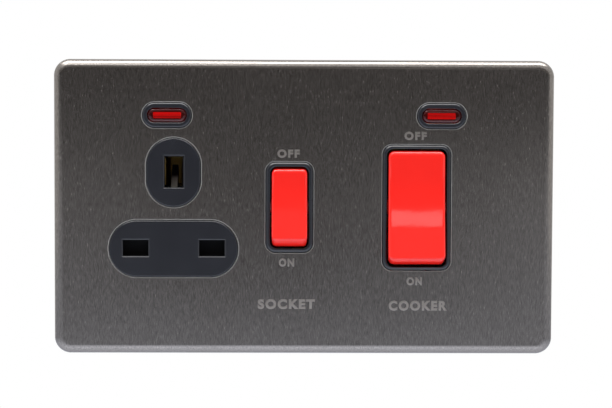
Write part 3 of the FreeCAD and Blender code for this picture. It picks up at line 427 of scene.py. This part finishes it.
# Clear red acrylic: deep red where it is thick, with a polished face and faint flow lines.
red_acrylic, tree, shader = finish(
    "clear_red_acrylic", IOR=1.49, Transmission_Weight=0.8, Base_Color=linear("#660508")
)
place = add(tree, "ShaderNodeTexCoord", {}).outputs["Object"]
flow = add(tree, "ShaderNodeTexNoise", {"Vector": place, "Scale": 1 / (3 * MM), "Detail": 2.0})
gloss = add(tree, "ShaderNodeMapRange", {"Value": flow.outputs[0], "To Min": 0.02, "To Max": 0.08})
tree.links.new(gloss.outputs[0], shader.inputs["Roughness"])

# Red acrylic of the light bar in the lens, with a painted glow: its emission stands in for light
# seen through the lens, as the lamp is not lit. The painted glow runs in streaks along X; the real
# bar's streaks are finer, and these are drawn about half a millimetre apart so that they show.
painted_glow_acrylic, tree, shader = finish(
    "red_acrylic_painted_glow",
    Roughness=0.3,
    Base_Color=linear("#f02016"),
    Emission_Color=linear("#ff2a1c"),
)
place = add(tree, "ShaderNodeTexCoord", {}).outputs["Object"]
drawn = add(
    tree,
    "ShaderNodeMapping",
    {"Vector": place, "Scale": (1 / (40 * MM), 1 / (0.4 * MM), 1 / (0.45 * MM))},
)
streaks = add(tree, "ShaderNodeTexNoise", {"Vector": drawn.outputs[0], "Scale": 1.0, "Detail": 1.0})
# Painted glow: the emission strength rises and falls with the streaks.
glow = add(
    tree,
    "ShaderNodeMapRange",
    {
        "Value": streaks.outputs[0],
        "From Min": 0.36,
        "From Max": 0.64,
        "To Min": 0.3,
        "To Max": 2.0,
    },
)
tree.links.new(glow.outputs[0], shader.inputs["Emission Strength"])


def ring(bm, width, height, corner, y, x=0.0, z=0.0):
    """A closed loop of vertices with rounded corners, lying across Y."""
    steps = 10
    half = math.pi / (4 * steps)
    turn = Matrix.Rotation(math.pi / 2, 4, "X") @ Matrix.Rotation(half, 4, "Z")
    stand = Matrix.Translation((x, y, z)) @ turn
    radius = corner / math.cos(half)
    made = bmesh.ops.create_circle(bm, segments=4 * steps, radius=radius, matrix=stand)
    loop = sorted(made["verts"], key=lambda v: math.atan2(v.co.z - z, v.co.x - x))
    for v in loop:
        v.co.x += math.copysign(width / 2 - corner, v.co.x - x)
        v.co.z += math.copysign(height / 2 - corner, v.co.z - z)
    return loop


def skin(bm, rings):
    """Walls from each ring to the next."""
    walls = []
    for one, other in zip(rings, rings[1:]):
        for i in range(len(one)):
            walls.append(bm.faces.new((one[i - 1], one[i], other[i], other[i - 1])))
    return walls


def fill(bm, *rings):
    """A flat face inside the first ring and outside the others."""
    edges = [bm.edges.get((loop[i - 1], loop[i])) for loop in rings for i in range(len(loop))]
    bmesh.ops.triangle_fill(bm, use_beauty=True, edges=edges)


def plug(bm, rings):
    """A closed block skinned over its rings, with a flat face at either end."""
    skin(bm, rings)
    fill(bm, rings[-1])
    fill(bm, rings[0])
    bmesh.ops.recalc_face_normals(bm, faces=bm.faces)


def box(bm, x, y, z):
    """A plain block between the low and high value on each axis."""
    middle = Vector([sum(pair) / 2 for pair in (x, y, z)])
    size = Vector([pair[1] - pair[0] for pair in (x, y, z)])
    bmesh.ops.create_cube(bm, size=1.0, matrix=Matrix.LocRotScale(middle, None, size))


NEON_X, NEON_Z = 40.0, 26.75
LAMP_Y, LAMP_RADIUS, LAMP_HALF = 0.3, 1.3, 4.5
BALLAST_AWAY = 11.0
# Half of the resistor's outline: distance along it and radius.
ballast = [(-3.0, 0.0), (-3.0, 0.7), (-2.7, 1.0), (-1.9, 1.0), (-1.6, 0.86)]
ballast += [(1.6, 0.86), (1.9, 1.0), (2.7, 1.0), (3.0, 0.7), (3.0, 0.0)]
# Width, height and Y of the lens, from its flange over its rounded edge to the top of the dome. Its
# ends are a hair less than half round, so that no two points fall together.
dome = [(11.3, 4.1, -1.8), (11.3, 4.1, -5.02), (11.22, 4.02, -5.16), (10.74, 3.54, -5.38)]
dome += [(10.4, 3.2, -5.47), (10.0, 2.8, -5.53), (9.3, 2.1, -5.58)]
HAIR = 0.001
FLANGE_X, FLANGE_Y, FLANGE_Z = 6.6, (-1.8, -1.2), 2.05
BAR_WIDTH, BAR_HEIGHT, BAR_CORNER = 8.1, 1.75, 0.3
# How much the light bar narrows at each Y.
bar = [(0, -3.8), (0, -4.6), (0.3, -4.75)]
for switch, x, inward in (("socket", -NEON_X, 1), ("cooker", NEON_X, -1)):
    coat(f"{switch}_neon_leads", tinned_copper)
    bm = bmesh.new()
    turn = Matrix.Rotation(math.pi / 2, 4, "Y")
    glass = bmesh.ops.create_uvsphere(
        bm, u_segments=28, v_segments=13, radius=LAMP_RADIUS, matrix=turn
    )
    for v in glass["verts"]:
        v.co.x += math.copysign(LAMP_HALF - LAMP_RADIUS, v.co.x)
    bmesh.ops.translate(bm, verts=bm.verts, vec=(x, LAMP_Y, NEON_Z))
    bmesh.ops.recalc_face_normals(bm, faces=bm.faces)
    lamp = piece(f"{switch}_neon_glass", bm, lamp_glass_painted_glow, "unit")
    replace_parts(lamp, f"{switch}_neon_lamp")

    bm = bmesh.new()
    line = [bm.verts.new((along, out, 0)) for along, out in ballast]
    edges = [bm.edges.new(pair) for pair in zip(line, line[1:])]
    bmesh.ops.spin(
        bm,
        geom=line + edges,
        axis=(1, 0, 0),
        cent=(0, 0, 0),
        angle=2 * math.pi,
        steps=28,
        use_merge=True,
    )
    bmesh.ops.remove_doubles(bm, verts=bm.verts, dist=MERGE)
    bmesh.ops.translate(bm, verts=bm.verts, vec=(x + inward * BALLAST_AWAY, LAMP_Y, NEON_Z))
    bmesh.ops.recalc_face_normals(bm, faces=bm.faces)
    resistor = piece(f"{switch}_neon_ballast", bm, resistor_coat, "unit")
    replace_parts(resistor, f"{switch}_neon_resistor")

    bm = bmesh.new()
    plug(bm, [ring(bm, wide, high, high / 2 - HAIR, y, x, NEON_Z) for wide, high, y in dome])
    box(bm, (x - FLANGE_X, x + FLANGE_X), FLANGE_Y, (NEON_Z - FLANGE_Z, NEON_Z + FLANGE_Z))
    lens = piece(f"{switch}_neon_lens_cap", bm, red_acrylic, "unit")
    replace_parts(lens, f"{switch}_neon_lens")

    bm = bmesh.new()
    levels = [(BAR_WIDTH - less, BAR_HEIGHT - less, BAR_CORNER, y) for less, y in bar]
    plug(bm, [ring(bm, *level, x, NEON_Z) for level in levels])
    piece(f"{switch}_neon_bar", bm, painted_glow_acrylic, "unit")

# Front moulding. One black thermoset moulding behind the plate: its raised islands fill the plate's
# windows, with rounded outer edges, lead-ins round the pin slots and a well for each rocker.
ISLAND_Y = -5.6
ISLAND_FOOT = -3.9
# The solid's own islands are cut off here, just in front of the new ones' feet.
ISLAND_CUT = -4.02
bm = solid_copy("front_moulding")
everything = bm.verts[:] + bm.edges[:] + bm.faces[:]
cut = bmesh.ops.bisect_plane(
    bm, geom=everything, plane_co=(0, ISLAND_CUT, 0), plane_no=(0, -1, 0), clear_outer=True
)
rims = [e for e in cut["geom_cut"] if isinstance(e, bmesh.types.BMEdge)]
lids = bmesh.ops.triangle_fill(bm, use_beauty=True, edges=rims)["geom"]
lids = [f for f in lids if isinstance(f, bmesh.types.BMFace)]
for lid in lids:
    lid.normal_update()
bmesh.ops.reverse_faces(bm, faces=[f for f in lids if f.normal.y > 0])


def rolled(bm, width, height, corner, y, radius, steps, x=0.0, z=0.0, way=1, depth=None):
    """Rings that turn a flat face through a quarter round, out at a rim or way=-1 into a window."""
    rings = []
    for step in range(steps + 1):
        angle = math.pi / 2 * step / steps
        inset = way * radius * (1 - math.sin(angle))
        back = y + (depth or radius) * (1 - math.cos(angle))
        rings.append(ring(bm, width - 2 * inset, height - 2 * inset, corner - inset, back, x, z))
    return rings


def island(bm, width, height, corner, edge, x, z, mouth=None):
    """A raised island with a rounded outer edge; its mouth is rings from the face down."""
    rings = rolled(bm, width, height, corner, ISLAND_Y, edge, 6, x, z)
    rings.append(ring(bm, width, height, corner, ISLAND_FOOT, x, z))
    skin(bm, rings)
    if mouth is None:
        return bm.faces.new(rings[0])
    inner = [ring(bm, *level) for level in mouth]
    skin(bm, [rings[0]] + inner)


def pin_slot(bm, face, width, height, lead, x, z):
    """Cuts a plug pin's opening, with its lead-in, into a flat face, and returns what is left."""
    half = (width / 2 + lead, height / 2 + lead)
    sides = [(x - half[0], (1, 0, 0)), (x + half[0], (1, 0, 0))]
    sides += [(z - half[1], (0, 0, 1)), (z + half[1], (0, 0, 1))]
    flat = [face]
    for at, across in sides:
        geom = flat + list({e for f in flat for e in f.edges})
        geom += list({v for f in flat for v in f.verts})
        cut = bmesh.ops.bisect_plane(
            bm, geom=geom, plane_co=Vector(across) * at, plane_no=across, dist=MERGE
        )
        flat = [f for f in cut["geom"] if isinstance(f, bmesh.types.BMFace)]
    within = [f for f in flat if abs(f.calc_center_median().x - x) < half[0]]
    within = [f for f in within if abs(f.calc_center_median().z - z) < half[1]]
    rim = within[0].edges[:]
    bmesh.ops.delete(bm, geom=within, context="FACES_ONLY")
    # The lead-in is shallower than it is wide.
    drop = 0.65 * lead
    for depth, shrink in ((drop, lead), (ISLAND_FOOT - ISLAND_Y - drop, 0)):
        drawn = bmesh.ops.extrude_edge_only(bm, edges=rim)["geom"]
        rim = [e for e in drawn if isinstance(e, bmesh.types.BMEdge)]
        for v in (v for v in drawn if isinstance(v, bmesh.types.BMVert)):
            v.co.x -= math.copysign(shrink, v.co.x - x)
            v.co.z -= math.copysign(shrink, v.co.z - z)
            v.co.y += depth
    return max((f for f in flat if f.is_valid), key=lambda f: f.calc_area())


# Socket islands: width, height, corner, rounding, X and Z. Slots: width, height, lead-in, X and Z.
before = set(bm.faces)
face = island(bm, 15.7, 20.0, 7.84, 0.35, SOCKET_X, 10.1)
pin_slot(bm, face, 5.7, 9.4, 0.2, -37.9, 10.35)
face = island(bm, 37.5, 16.4, 8.19, 0.35, SOCKET_X, -12.13)
for x in (-49.1, -26.87):
    face = pin_slot(bm, face, 7.5, 4.8, 0.3, x, -11.93)
for x in (-NEON_X, NEON_X):
    hole = [(11.84, 4.64, 2.31, ISLAND_Y, x, NEON_Z)]
    hole += [(11.6, 4.4, 2.19, y, x, NEON_Z) for y in (ISLAND_Y + 0.12, ISLAND_FOOT)]
    island(bm, 14.3, 7.3, 3.64, 0.6, x, NEON_Z, hole)
FACE_RISE = 4.9
END_GAP, SIDE_GAP = 0.35, 0.3
BEZEL_CORNER, BEZEL_ROUND, WELL_CORNER = 2.8, 0.85, 2.0
# How much wider the well is than at its foot, on each side, at each Y.
lip = [(0.25, ISLAND_Y), (0.07, ISLAND_Y + 0.08), (0.0, ISLAND_Y + 0.25), (0.0, ISLAND_FOOT)]
# Width and height of the bezel and of the rocker's room in it. Its ends follow the rocker's circle.
bezels = {"socket": ((13.8, 26.4), (10.6, 22.8)), "cooker": ((19.9, 36.6), (16.9, 33.5))}
for switch, (bezel, rocker) in bezels.items():
    x = switches[switch]["x"]
    reach = math.hypot(rocker[1] / 2, FACE_RISE) + END_GAP
    well = []
    for grow, y in lip:
        wide = rocker[0] + 2 * SIDE_GAP + 2 * grow
        high = 2 * math.sqrt(reach**2 - (y - PIVOT_Y) ** 2) + 2 * grow
        well.append((wide, high, WELL_CORNER + grow, y, x, 0.0))
    island(bm, *bezel, BEZEL_CORNER, BEZEL_ROUND, x, 0.0, well)
feet = [e for e in bm.edges if e.is_boundary]
feet = [e for e in feet if all(abs(v.co.y - ISLAND_FOOT) < MERGE for v in e.verts)]
bmesh.ops.triangle_fill(bm, use_beauty=True, edges=feet)
bmesh.ops.recalc_face_normals(bm, faces=[f for f in bm.faces if f not in before])
moulding = piece("moulding", bm, black_thermoset, "unit")
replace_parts(moulding, "front_moulding")

# Rockers. Two red urea mouldings on trunnions, with a shallow dished face and rounded edges. Both
# are switched off, with the top end pressed in. Square stems behind them hold the plungers.

# Urea is hard and glossy; it shows a soft mirror image, bent a little by a slight waviness some
# millimetres long.
red_urea, tree, shader = finish("red_urea", IOR=1.5)
place = add(tree, "ShaderNodeTexCoord", {}).outputs["Object"]
wave = add(tree, "ShaderNodeTexNoise", {"Vector": place, "Scale": 1 / (7 * MM), "Detail": 2.0})
tone = add(
    tree,
    "ShaderNodeMix",
    {0: wave.outputs[0], 6: linear("#ef241d"), 7: linear("#f32820")},
    data_type="RGBA",
)
gloss = add(tree, "ShaderNodeMapRange", {"Value": wave.outputs[0], "To Min": 0.05, "To Max": 0.08})
sink = add(
    tree, "ShaderNodeBump", {"Height": wave.outputs[0], "Strength": 1.0, "Distance": 0.03 * MM}
)
tree.links.new(sink.outputs[0], shader.inputs["Normal"])
tree.links.new(tone.outputs[2], shader.inputs["Base Color"])
tree.links.new(gloss.outputs[0], shader.inputs["Roughness"])
HEEL = 1.5
TRUNNION_RADIUS, TRUNNION_LENGTH = 1.5, 1.4
SHOULDER_Y, SHOULDER_Z = (-2.5, 0.5), (-2.1, 2.1)
SHOULDER_IN, SHOULDER_OUT = 0.5, 0.2
STEM_WALL, STEM_END = 0.95, 8.0
# The least part of a face's normal that makes it a side, an end or the front of the cap.
SIDEWAYS, ENDWAYS, FRONTWARD = 0.9, 0.5, 0.93
# Where the cap's middle ends: all that lies farther out along Z follows a circle about the pivot.
MIDDLE = 2.0
# Width, height, radius of the hollow across the middle, corner radius and rounding of the rim.
rockers = {
    "socket": (10.35, 21.8, 45.0, 1.3, 0.7),
    "cooker": (16.6, 32.6, 90.0, 1.7, 0.85),
}
for switch, (width, height, hollow, corner, rounding) in rockers.items():
    own = switches[switch]
    swing, half = own["swing"], height / 2
    reach = math.hypot(half, FACE_RISE)
    tip_out = FACE_RISE * math.cos(swing) + half * math.sin(swing)
    tip_up = half * math.cos(swing) - FACE_RISE * math.sin(swing)
    heel = math.sqrt(reach**2 - HEEL**2)
    bm = bmesh.new()
    outline = [(FACE_RISE / math.cos(swing), 0), (tip_out, tip_up), (-HEEL, heel)]
    outline += [(-HEEL, -heel), (tip_out, -tip_up)]
    left = own["x"] - width / 2
    side = bm.faces.new([bm.verts.new((left, PIVOT_Y - out, z)) for out, z in outline])
    drawn = bmesh.ops.extrude_face_region(bm, geom=[side], use_keep_orig=True)
    other = [v for v in drawn["geom"] if isinstance(v, bmesh.types.BMVert)]
    bmesh.ops.translate(bm, verts=other, vec=(width, 0, 0))
    ends = [e for e in bm.edges if abs(e.verts[0].co.y - e.verts[1].co.y) > 2 * HEEL]
    ends = [e for e in ends if abs(e.verts[0].co.z) > MIDDLE]
    ends = [e for e in ends if e.verts[0].co.z * e.verts[1].co.z > 0]
    bmesh.ops.subdivide_edges(bm, edges=ends, cuts=6, use_grid_fill=True)
    for v in bm.verts:
        out = Vector((v.co.y - PIVOT_Y, v.co.z))
        if abs(v.co.z) > MIDDLE:
            out = out.normalized() * reach
            v.co.y, v.co.z = PIVOT_Y + out.x, out.y
    # The crease across the middle is a wide, shallow hollow.
    crease = [e for e in bm.edges if all(abs(v.co.z) < MERGE for v in e.verts)]
    bmesh.ops.bevel(
        bm,
        geom=crease,
        offset=hollow * math.tan(swing),
        segments=10,
        profile=0.5,
        affect="EDGES",
        material=-1,
    )
    bmesh.ops.recalc_face_normals(bm, faces=bm.faces)
    corners = [e for e in bm.edges if len(e.link_faces) == 2]
    corners = [e for e in corners if all(abs(v.co.z) > MIDDLE for v in e.verts)]
    corners = [e for e in corners if any(abs(f.normal.x) > SIDEWAYS for f in e.link_faces)]
    corners = [e for e in corners if any(abs(f.normal.z) > ENDWAYS for f in e.link_faces)]
    bmesh.ops.bevel(
        bm, geom=corners, offset=corner, segments=6, profile=0.5, affect="EDGES", material=-1
    )
    fronts = {f for f in bm.faces if f.normal.y < -FRONTWARD}
    rim = [e for e in bm.edges if len(set(e.link_faces) & fronts) == 1]
    bmesh.ops.bevel(
        bm, geom=rim, offset=rounding, segments=7, profile=0.5, affect="EDGES", material=-1
    )
    bmesh.ops.recalc_face_normals(bm, faces=bm.faces)
    # Trunnions, their shoulders, and the stems for the plungers.
    for way in (-1, 1):
        wall = own["x"] + way * width / 2
        stand = Matrix.Translation((wall + way * TRUNNION_LENGTH / 2, PIVOT_Y, 0))
        bmesh.ops.create_cone(
            bm,
            cap_ends=True,
            segments=40,
            radius1=TRUNNION_RADIUS,
            radius2=TRUNNION_RADIUS,
            depth=TRUNNION_LENGTH,
            matrix=stand @ Matrix.Rotation(math.pi / 2, 4, "Y"),
        )
        shoulder_x = sorted((wall - way * SHOULDER_IN, wall + way * SHOULDER_OUT))
        box(bm, shoulder_x, SHOULDER_Y, SHOULDER_Z)
        stem = own["plunger"] + STEM_WALL
        middle = own["x"] + way * own["pole"]
        box(bm, (middle - stem, middle + stem), (0.0, PIVOT_Y + STEM_END), (-stem, stem))
    lean = Matrix.Rotation(-swing, 3, "X")
    bmesh.ops.rotate(bm, verts=bm.verts, cent=(0, PIVOT_Y, 0), matrix=lean)
    cap = piece(f"{switch}_rocker_cap", bm, red_urea, f"{switch}_rocker")
    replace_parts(cap, f"{switch}_rocker")

# Front plate. One pressed steel sheet, brushed from top to bottom and plated a dark nickel grey.
# Its rim is rolled back to the wall, its windows are punched, and small tabs clip it to the
# moulding.

# Brushing leaves lines along Z that spread reflections sideways; the plating keeps them dark. Real
# ones are a few hundredths of a millimetre wide, and these are drawn coarser so that they show.
dark_nickel, tree, shader = finish("brushed_dark_nickel", Metallic=1.0, Anisotropic=0.7)
place = add(tree, "ShaderNodeTexCoord", {}).outputs["Object"]
brushed = add(
    tree,
    "ShaderNodeMapping",
    {"Vector": place, "Scale": (1 / (0.16 * MM), 1 / (0.16 * MM), 1 / (1.5 * MM))},
)
lines = add(tree, "ShaderNodeTexNoise", {"Vector": brushed.outputs[0], "Scale": 1.0, "Detail": 2.0})
clouds = add(tree, "ShaderNodeTexNoise", {"Vector": place, "Scale": 1 / (22 * MM), "Detail": 2.0})
tone = add(
    tree,
    "ShaderNodeMix",
    {0: lines.outputs[0], 6: linear("#100e0d"), 7: linear("#b5aea7")},
    data_type="RGBA",
)
mottle = add(
    tree,
    "ShaderNodeMix",
    {0: clouds.outputs[0], 6: linear("#6b6461"), 7: linear("#827e7c")},
    data_type="RGBA",
)
shade = add(
    tree,
    "ShaderNodeMix",
    {0: 0.25, 6: tone.outputs[2], 7: mottle.outputs[2]},
    data_type="RGBA",
)
gloss = add(tree, "ShaderNodeMapRange", {"Value": lines.outputs[0], "To Min": 0.2, "To Max": 0.3})
scratch = add(
    tree, "ShaderNodeBump", {"Height": lines.outputs[0], "Strength": 0.3, "Distance": 0.02 * MM}
)
across = add(tree, "ShaderNodeTangent", {}, direction_type="RADIAL", axis="Z")
tree.links.new(across.outputs[0], shader.inputs["Tangent"])
tree.links.new(shade.outputs[2], shader.inputs["Base Color"])
tree.links.new(gloss.outputs[0], shader.inputs["Roughness"])
tree.links.new(scratch.outputs[0], shader.inputs["Normal"])

# Bare steel, where the windows are punched and eased: a dull, bright line.
bare_steel, tree, shader = finish("bare_steel_edge", Metallic=1.0, Base_Color=linear("#d8d4ce"))
place = add(tree, "ShaderNodeTexCoord", {}).outputs["Object"]
marks = add(tree, "ShaderNodeTexNoise", {"Vector": place, "Scale": 1 / (0.5 * MM), "Detail": 2.0})
gloss = add(tree, "ShaderNodeMapRange", {"Value": marks.outputs[0], "To Min": 0.5, "To Max": 0.65})
tree.links.new(gloss.outputs[0], shader.inputs["Roughness"])
PLATE_Y, SHEET_BACK, WALL_Y = -5.0, -4.0, 0.0
# Width, height and corner of the plate, and of the room inside its rim.
PLATE, INNER = (146.0, 86.0, 4.8), (144.0, 84.0, 3.8)
ROLL_IN, ROLL_BACK = 2.7, 2.4
# Clip tabs on the inside of the rim: half their length, their Y, how far in and out they reach at
# the top and at the sides, and their places along it.
TAB_HALF, TAB_Y = 4.0, (-0.8, 0.0)
TOP_TAB, SIDE_TAB = (41.2, 42.1), (71.2, 72.1)
TOP_TAB_X, SIDE_TAB_Z = 45.0, 24.0
bm = bmesh.new()
rim = rolled(bm, *PLATE, PLATE_Y, ROLL_IN, 12, depth=ROLL_BACK)
# The rim's wall, and the inside of the sheet with its own bend: width, height, corner and Y.
inside = [(*PLATE, WALL_Y), (*INNER, WALL_Y), (*INNER, -2.8), (141.6, 81.6, 2.6, SHEET_BACK)]
rim += [ring(bm, *level) for level in inside]
skin(bm, rim)
front, back = [rim[0]], [rim[-1]]
# Windows: width, height, corner, X, Z and how far the edge is eased.
windows = [(16.0, 20.3, 7.99, SOCKET_X, 10.1, 0.25), (37.8, 16.7, 8.34, SOCKET_X, -12.13, 0.25)]
windows += [(14.6, 7.6, 3.79, x, NEON_Z, 0.18) for x in (-NEON_X, NEON_X)]
windows.append((14.1, 26.7, 2.95, switches["socket"]["x"], 0.0, 0.13))
windows.append((20.2, 36.9, 2.95, switches["cooker"]["x"], 0.0, 0.13))
for width, height, corner, x, z, ease in windows:
    edge = rolled(bm, width, height, corner, PLATE_Y, ease, 4, x, z, way=-1)
    edge.append(ring(bm, width, height, corner, SHEET_BACK, x, z))
    for wall in skin(bm, edge):
        wall.material_index = 1
    front.append(edge[0])
    back.append(edge[-1])
fill(bm, *front)
fill(bm, *back)
bmesh.ops.recalc_face_normals(bm, faces=bm.faces)
for way in (-1, 1):
    for along in (-TOP_TAB_X, TOP_TAB_X):
        run = (along - TAB_HALF, along + TAB_HALF)
        box(bm, run, TAB_Y, sorted(way * reach for reach in TOP_TAB))
    for along in (-SIDE_TAB_Z, SIDE_TAB_Z):
        run = (along - TAB_HALF, along + TAB_HALF)
        box(bm, sorted(way * reach for reach in SIDE_TAB), TAB_Y, run)
plate = piece("plate", bm, dark_nickel, "unit")
plate.data.materials.append(bare_steel)
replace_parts(plate, "front_plate")

# Legends. Plain function words, pad-printed on the brushed plate in warm grey ink about a hundredth
# of a millimetre thick. The ink lies a little unevenly, and is so thin that it keeps the sheen of
# the brushed metal.
grey_ink, tree, shader = finish("warm_grey_ink", Metallic=0.8, Roughness=0.3, Anisotropic=0.7)
place = add(tree, "ShaderNodeTexCoord", {}).outputs["Object"]
patches = add(tree, "ShaderNodeTexNoise", {"Vector": place, "Scale": 1 / (0.4 * MM), "Detail": 2.0})
tone = add(
    tree,
    "ShaderNodeMix",
    {0: patches.outputs[0], 6: linear("#98918a"), 7: linear("#a8a19a")},
    data_type="RGBA",
)
across = add(tree, "ShaderNodeTangent", {}, direction_type="RADIAL", axis="Z")
tree.links.new(across.outputs[0], shader.inputs["Tangent"])
tree.links.new(tone.outputs[2], shader.inputs["Base Color"])
# Word, X and Z of its middle, width and height.
words = [
    ("OFF", -4.6, 15.7, 6.5, 2.45),
    ("ON", -5.1, -16.1, 4.5, 2.45),
    ("SOCKET", -5.1, -28.3, 16.75, 2.95),
    ("OFF", 32.4, 21.0, 6.5, 2.45),
    ("ON", 32.3, -21.5, 4.55, 2.45),
    ("COOKER", 33.4, -28.7, 17.1, 2.95),
]
STROKE_GROWTH, LETTER_SPACE, INK_SCALE = 0.055, 1.25, 0.25
for number, (word, x, z, width, height) in enumerate(words):
    curve = bpy.data.curves.new(f"legend {number}", "FONT")
    curve.body = word
    curve.bevel_depth = STROKE_GROWTH
    curve.bevel_resolution = 0
    curve.space_character = LETTER_SPACE
    letters = bpy.data.objects.new("letters", curve)
    bpy.context.scene.collection.objects.link(letters)
    bpy.context.view_layer.update()
    ready = letters.evaluated_get(bpy.context.evaluated_depsgraph_get())
    drawn = bpy.data.meshes.new_from_object(ready)
    bm = bmesh.new()
    bm.from_mesh(drawn)
    bpy.data.objects.remove(letters)
    bpy.data.meshes.remove(drawn)
    bmesh.ops.remove_doubles(bm, verts=bm.verts, dist=1e-5)
    low = [min(v.co[axis] for v in bm.verts) for axis in (0, 1)]
    high = [max(v.co[axis] for v in bm.verts) for axis in (0, 1)]
    middle = [(one + other) / 2 for one, other in zip(low, high)]
    bmesh.ops.translate(bm, verts=bm.verts, vec=(-middle[0], -middle[1], 0))
    fit = (width / (high[0] - low[0]), height / (high[1] - low[1]), INK_SCALE)
    bmesh.ops.scale(bm, vec=fit, verts=bm.verts)
    stand = Matrix.Translation((x, PLATE_Y, z)) @ Matrix.Rotation(math.pi / 2, 4, "X")
    bmesh.ops.transform(bm, matrix=stand, verts=bm.verts)
    piece(f"legend_{number}", bm, grey_ink, "unit", sharp=10.0)

# Floor and light. A pale sheet lies well below the unit, which hangs on its wall box. A soft box
# hangs overhead, a fill stands to the front, a low lamp washes the floor, and a small box gives the
# large rocker its highlight. Dark and grey cards behind the camera keep the metal dark.

# Pale card: cool white, matt, with a faint cloudiness of the pulp.
pale_card, tree, shader = finish("pale_card", Roughness=0.8)
place = add(tree, "ShaderNodeTexCoord", {}).outputs["Object"]
fibre = add(tree, "ShaderNodeTexNoise", {"Vector": place, "Scale": 1 / (30 * MM), "Detail": 3.0})
tone = add(
    tree,
    "ShaderNodeMix",
    {0: fibre.outputs[0], 6: linear("#d4dcec"), 7: linear("#dee5f3")},
    data_type="RGBA",
)
tree.links.new(tone.outputs[2], shader.inputs["Base Color"])
# Dyed card, matt and even; it is seen only as a blurred reflection.
dark_card = finish("dark_card", Roughness=0.9, Base_Color=linear("#524e4a"))[0]
grey_card = finish("grey_card", Roughness=0.9, Base_Color=linear("#8c8885"))[0]


def sheet(name, width, depth, matrix, material):
    """A flat sheet of the studio, which isn't part of the object."""
    bm = bmesh.new()
    bmesh.ops.create_grid(bm, x_segments=1, y_segments=1, size=0.5)
    bmesh.ops.transform(bm, matrix=matrix @ Matrix.Diagonal((width, depth, 1, 1)), verts=bm.verts)
    mesh = bpy.data.meshes.new(name)
    bm.to_mesh(mesh)
    bm.free()
    mesh.materials.append(material)
    made = bpy.data.objects.new(name, mesh)
    bpy.context.scene.collection.objects.link(made)
    return made


FLOOR_SIZE, FLOOR_Z = 6.0, -0.25
sheet("floor", FLOOR_SIZE, FLOOR_SIZE, Matrix.Translation((0, -2.0, FLOOR_Z)), pale_card)
# Each card's width, lower and upper edge, in metres. All of them stand behind the camera.
CARD_X, CARD_Y = -0.03, -1.2
cards = [
    ("dark_card", 3.2, -0.02, 0.3, dark_card),
    ("dark_screen", 0.44, -0.18, -0.02, dark_card),
    ("grey_card", 3.2, 0.3, 0.75, grey_card),
]
upright = Matrix.Rotation(math.pi / 2, 4, "X")
for name, width, low, high, material in cards:
    stand = Matrix.Translation((CARD_X, CARD_Y, (low + high) / 2)) @ upright
    sheet(name, width, high - low, stand, material).visible_camera = False


def soft_box(name, place, aim, width, height, watts):
    """A rectangular lamp that faces a point."""
    light = bpy.data.lights.new(name, "AREA")
    light.shape = "RECTANGLE"
    light.size = width
    light.size_y = height
    light.energy = watts
    made = bpy.data.objects.new(name, light)
    made.location = place
    made.rotation_euler = (Vector(aim) - Vector(place)).to_track_quat("-Z", "Y").to_euler()
    bpy.context.scene.collection.objects.link(made)


soft_box("overhead", (0.0, -0.13, 0.7), (0, -0.13, 0), 1.1, 0.3, 9.0)
soft_box("front_fill", (-0.5, -0.8, 1.15), (0, 0, 0), 0.6, 0.4, 5.0)
soft_box("floor_wash", (0.0, -0.28, -0.1), (0, -0.28, FLOOR_Z), 0.5, 0.3, 0.6)
soft_box("window", (0.113, -1.0, 0.193), (0.033, 0, 0), 0.12, 0.066, 0.057)

# The backdrop is white to the eye, in metal and through glass, and lights the rest a little less.
world = bpy.data.worlds.new("studio")
bpy.context.scene.world = world
world.use_nodes = True
tree = world.node_tree
backdrop = tree.nodes["Background"]
backdrop.inputs["Color"].default_value = (1, 1, 1, 1)
seen = add(tree, "ShaderNodeLightPath", {})
direct = add(
    tree,
    "ShaderNodeMath",
    {0: seen.outputs["Is Camera Ray"], 1: seen.outputs["Is Glossy Ray"]},
    operation="MAXIMUM",
)
clear = add(
    tree,
    "ShaderNodeMath",
    {0: direct.outputs[0], 1: seen.outputs["Is Transmission Ray"]},
    operation="MAXIMUM",
)
level = add(tree, "ShaderNodeMapRange", {"Value": clear.outputs[0], "To Min": 0.8, "To Max": 1.0})
tree.links.new(level.outputs[0], backdrop.inputs["Strength"])

# Camera. It stands half a metre in front of the plate, a little left of its middle and a little
# above it, and looks slightly down, with a long lens as for a catalogue picture.
view = bpy.data.cameras.new("camera")
view.sensor_fit = "HORIZONTAL"
view.sensor_width = 36.0
view.lens = 99.95
view.clip_start = 0.01
PAN, TILT, ROLL = -0.883, -3.015, 0.226
camera = bpy.data.objects.new("camera", view)
camera.matrix_world = (
    Matrix.Translation((-0.0071, -0.5, 0.0271))
    @ Matrix.Rotation(math.radians(PAN), 4, "Z")
    @ Matrix.Rotation(math.radians(90 + TILT), 4, "X")
    @ Matrix.Rotation(math.radians(ROLL), 4, "Z")
)
bpy.context.scene.collection.objects.link(camera)
bpy.context.scene.camera = camera
bpy.context.scene.view_settings.view_transform = "Standard"
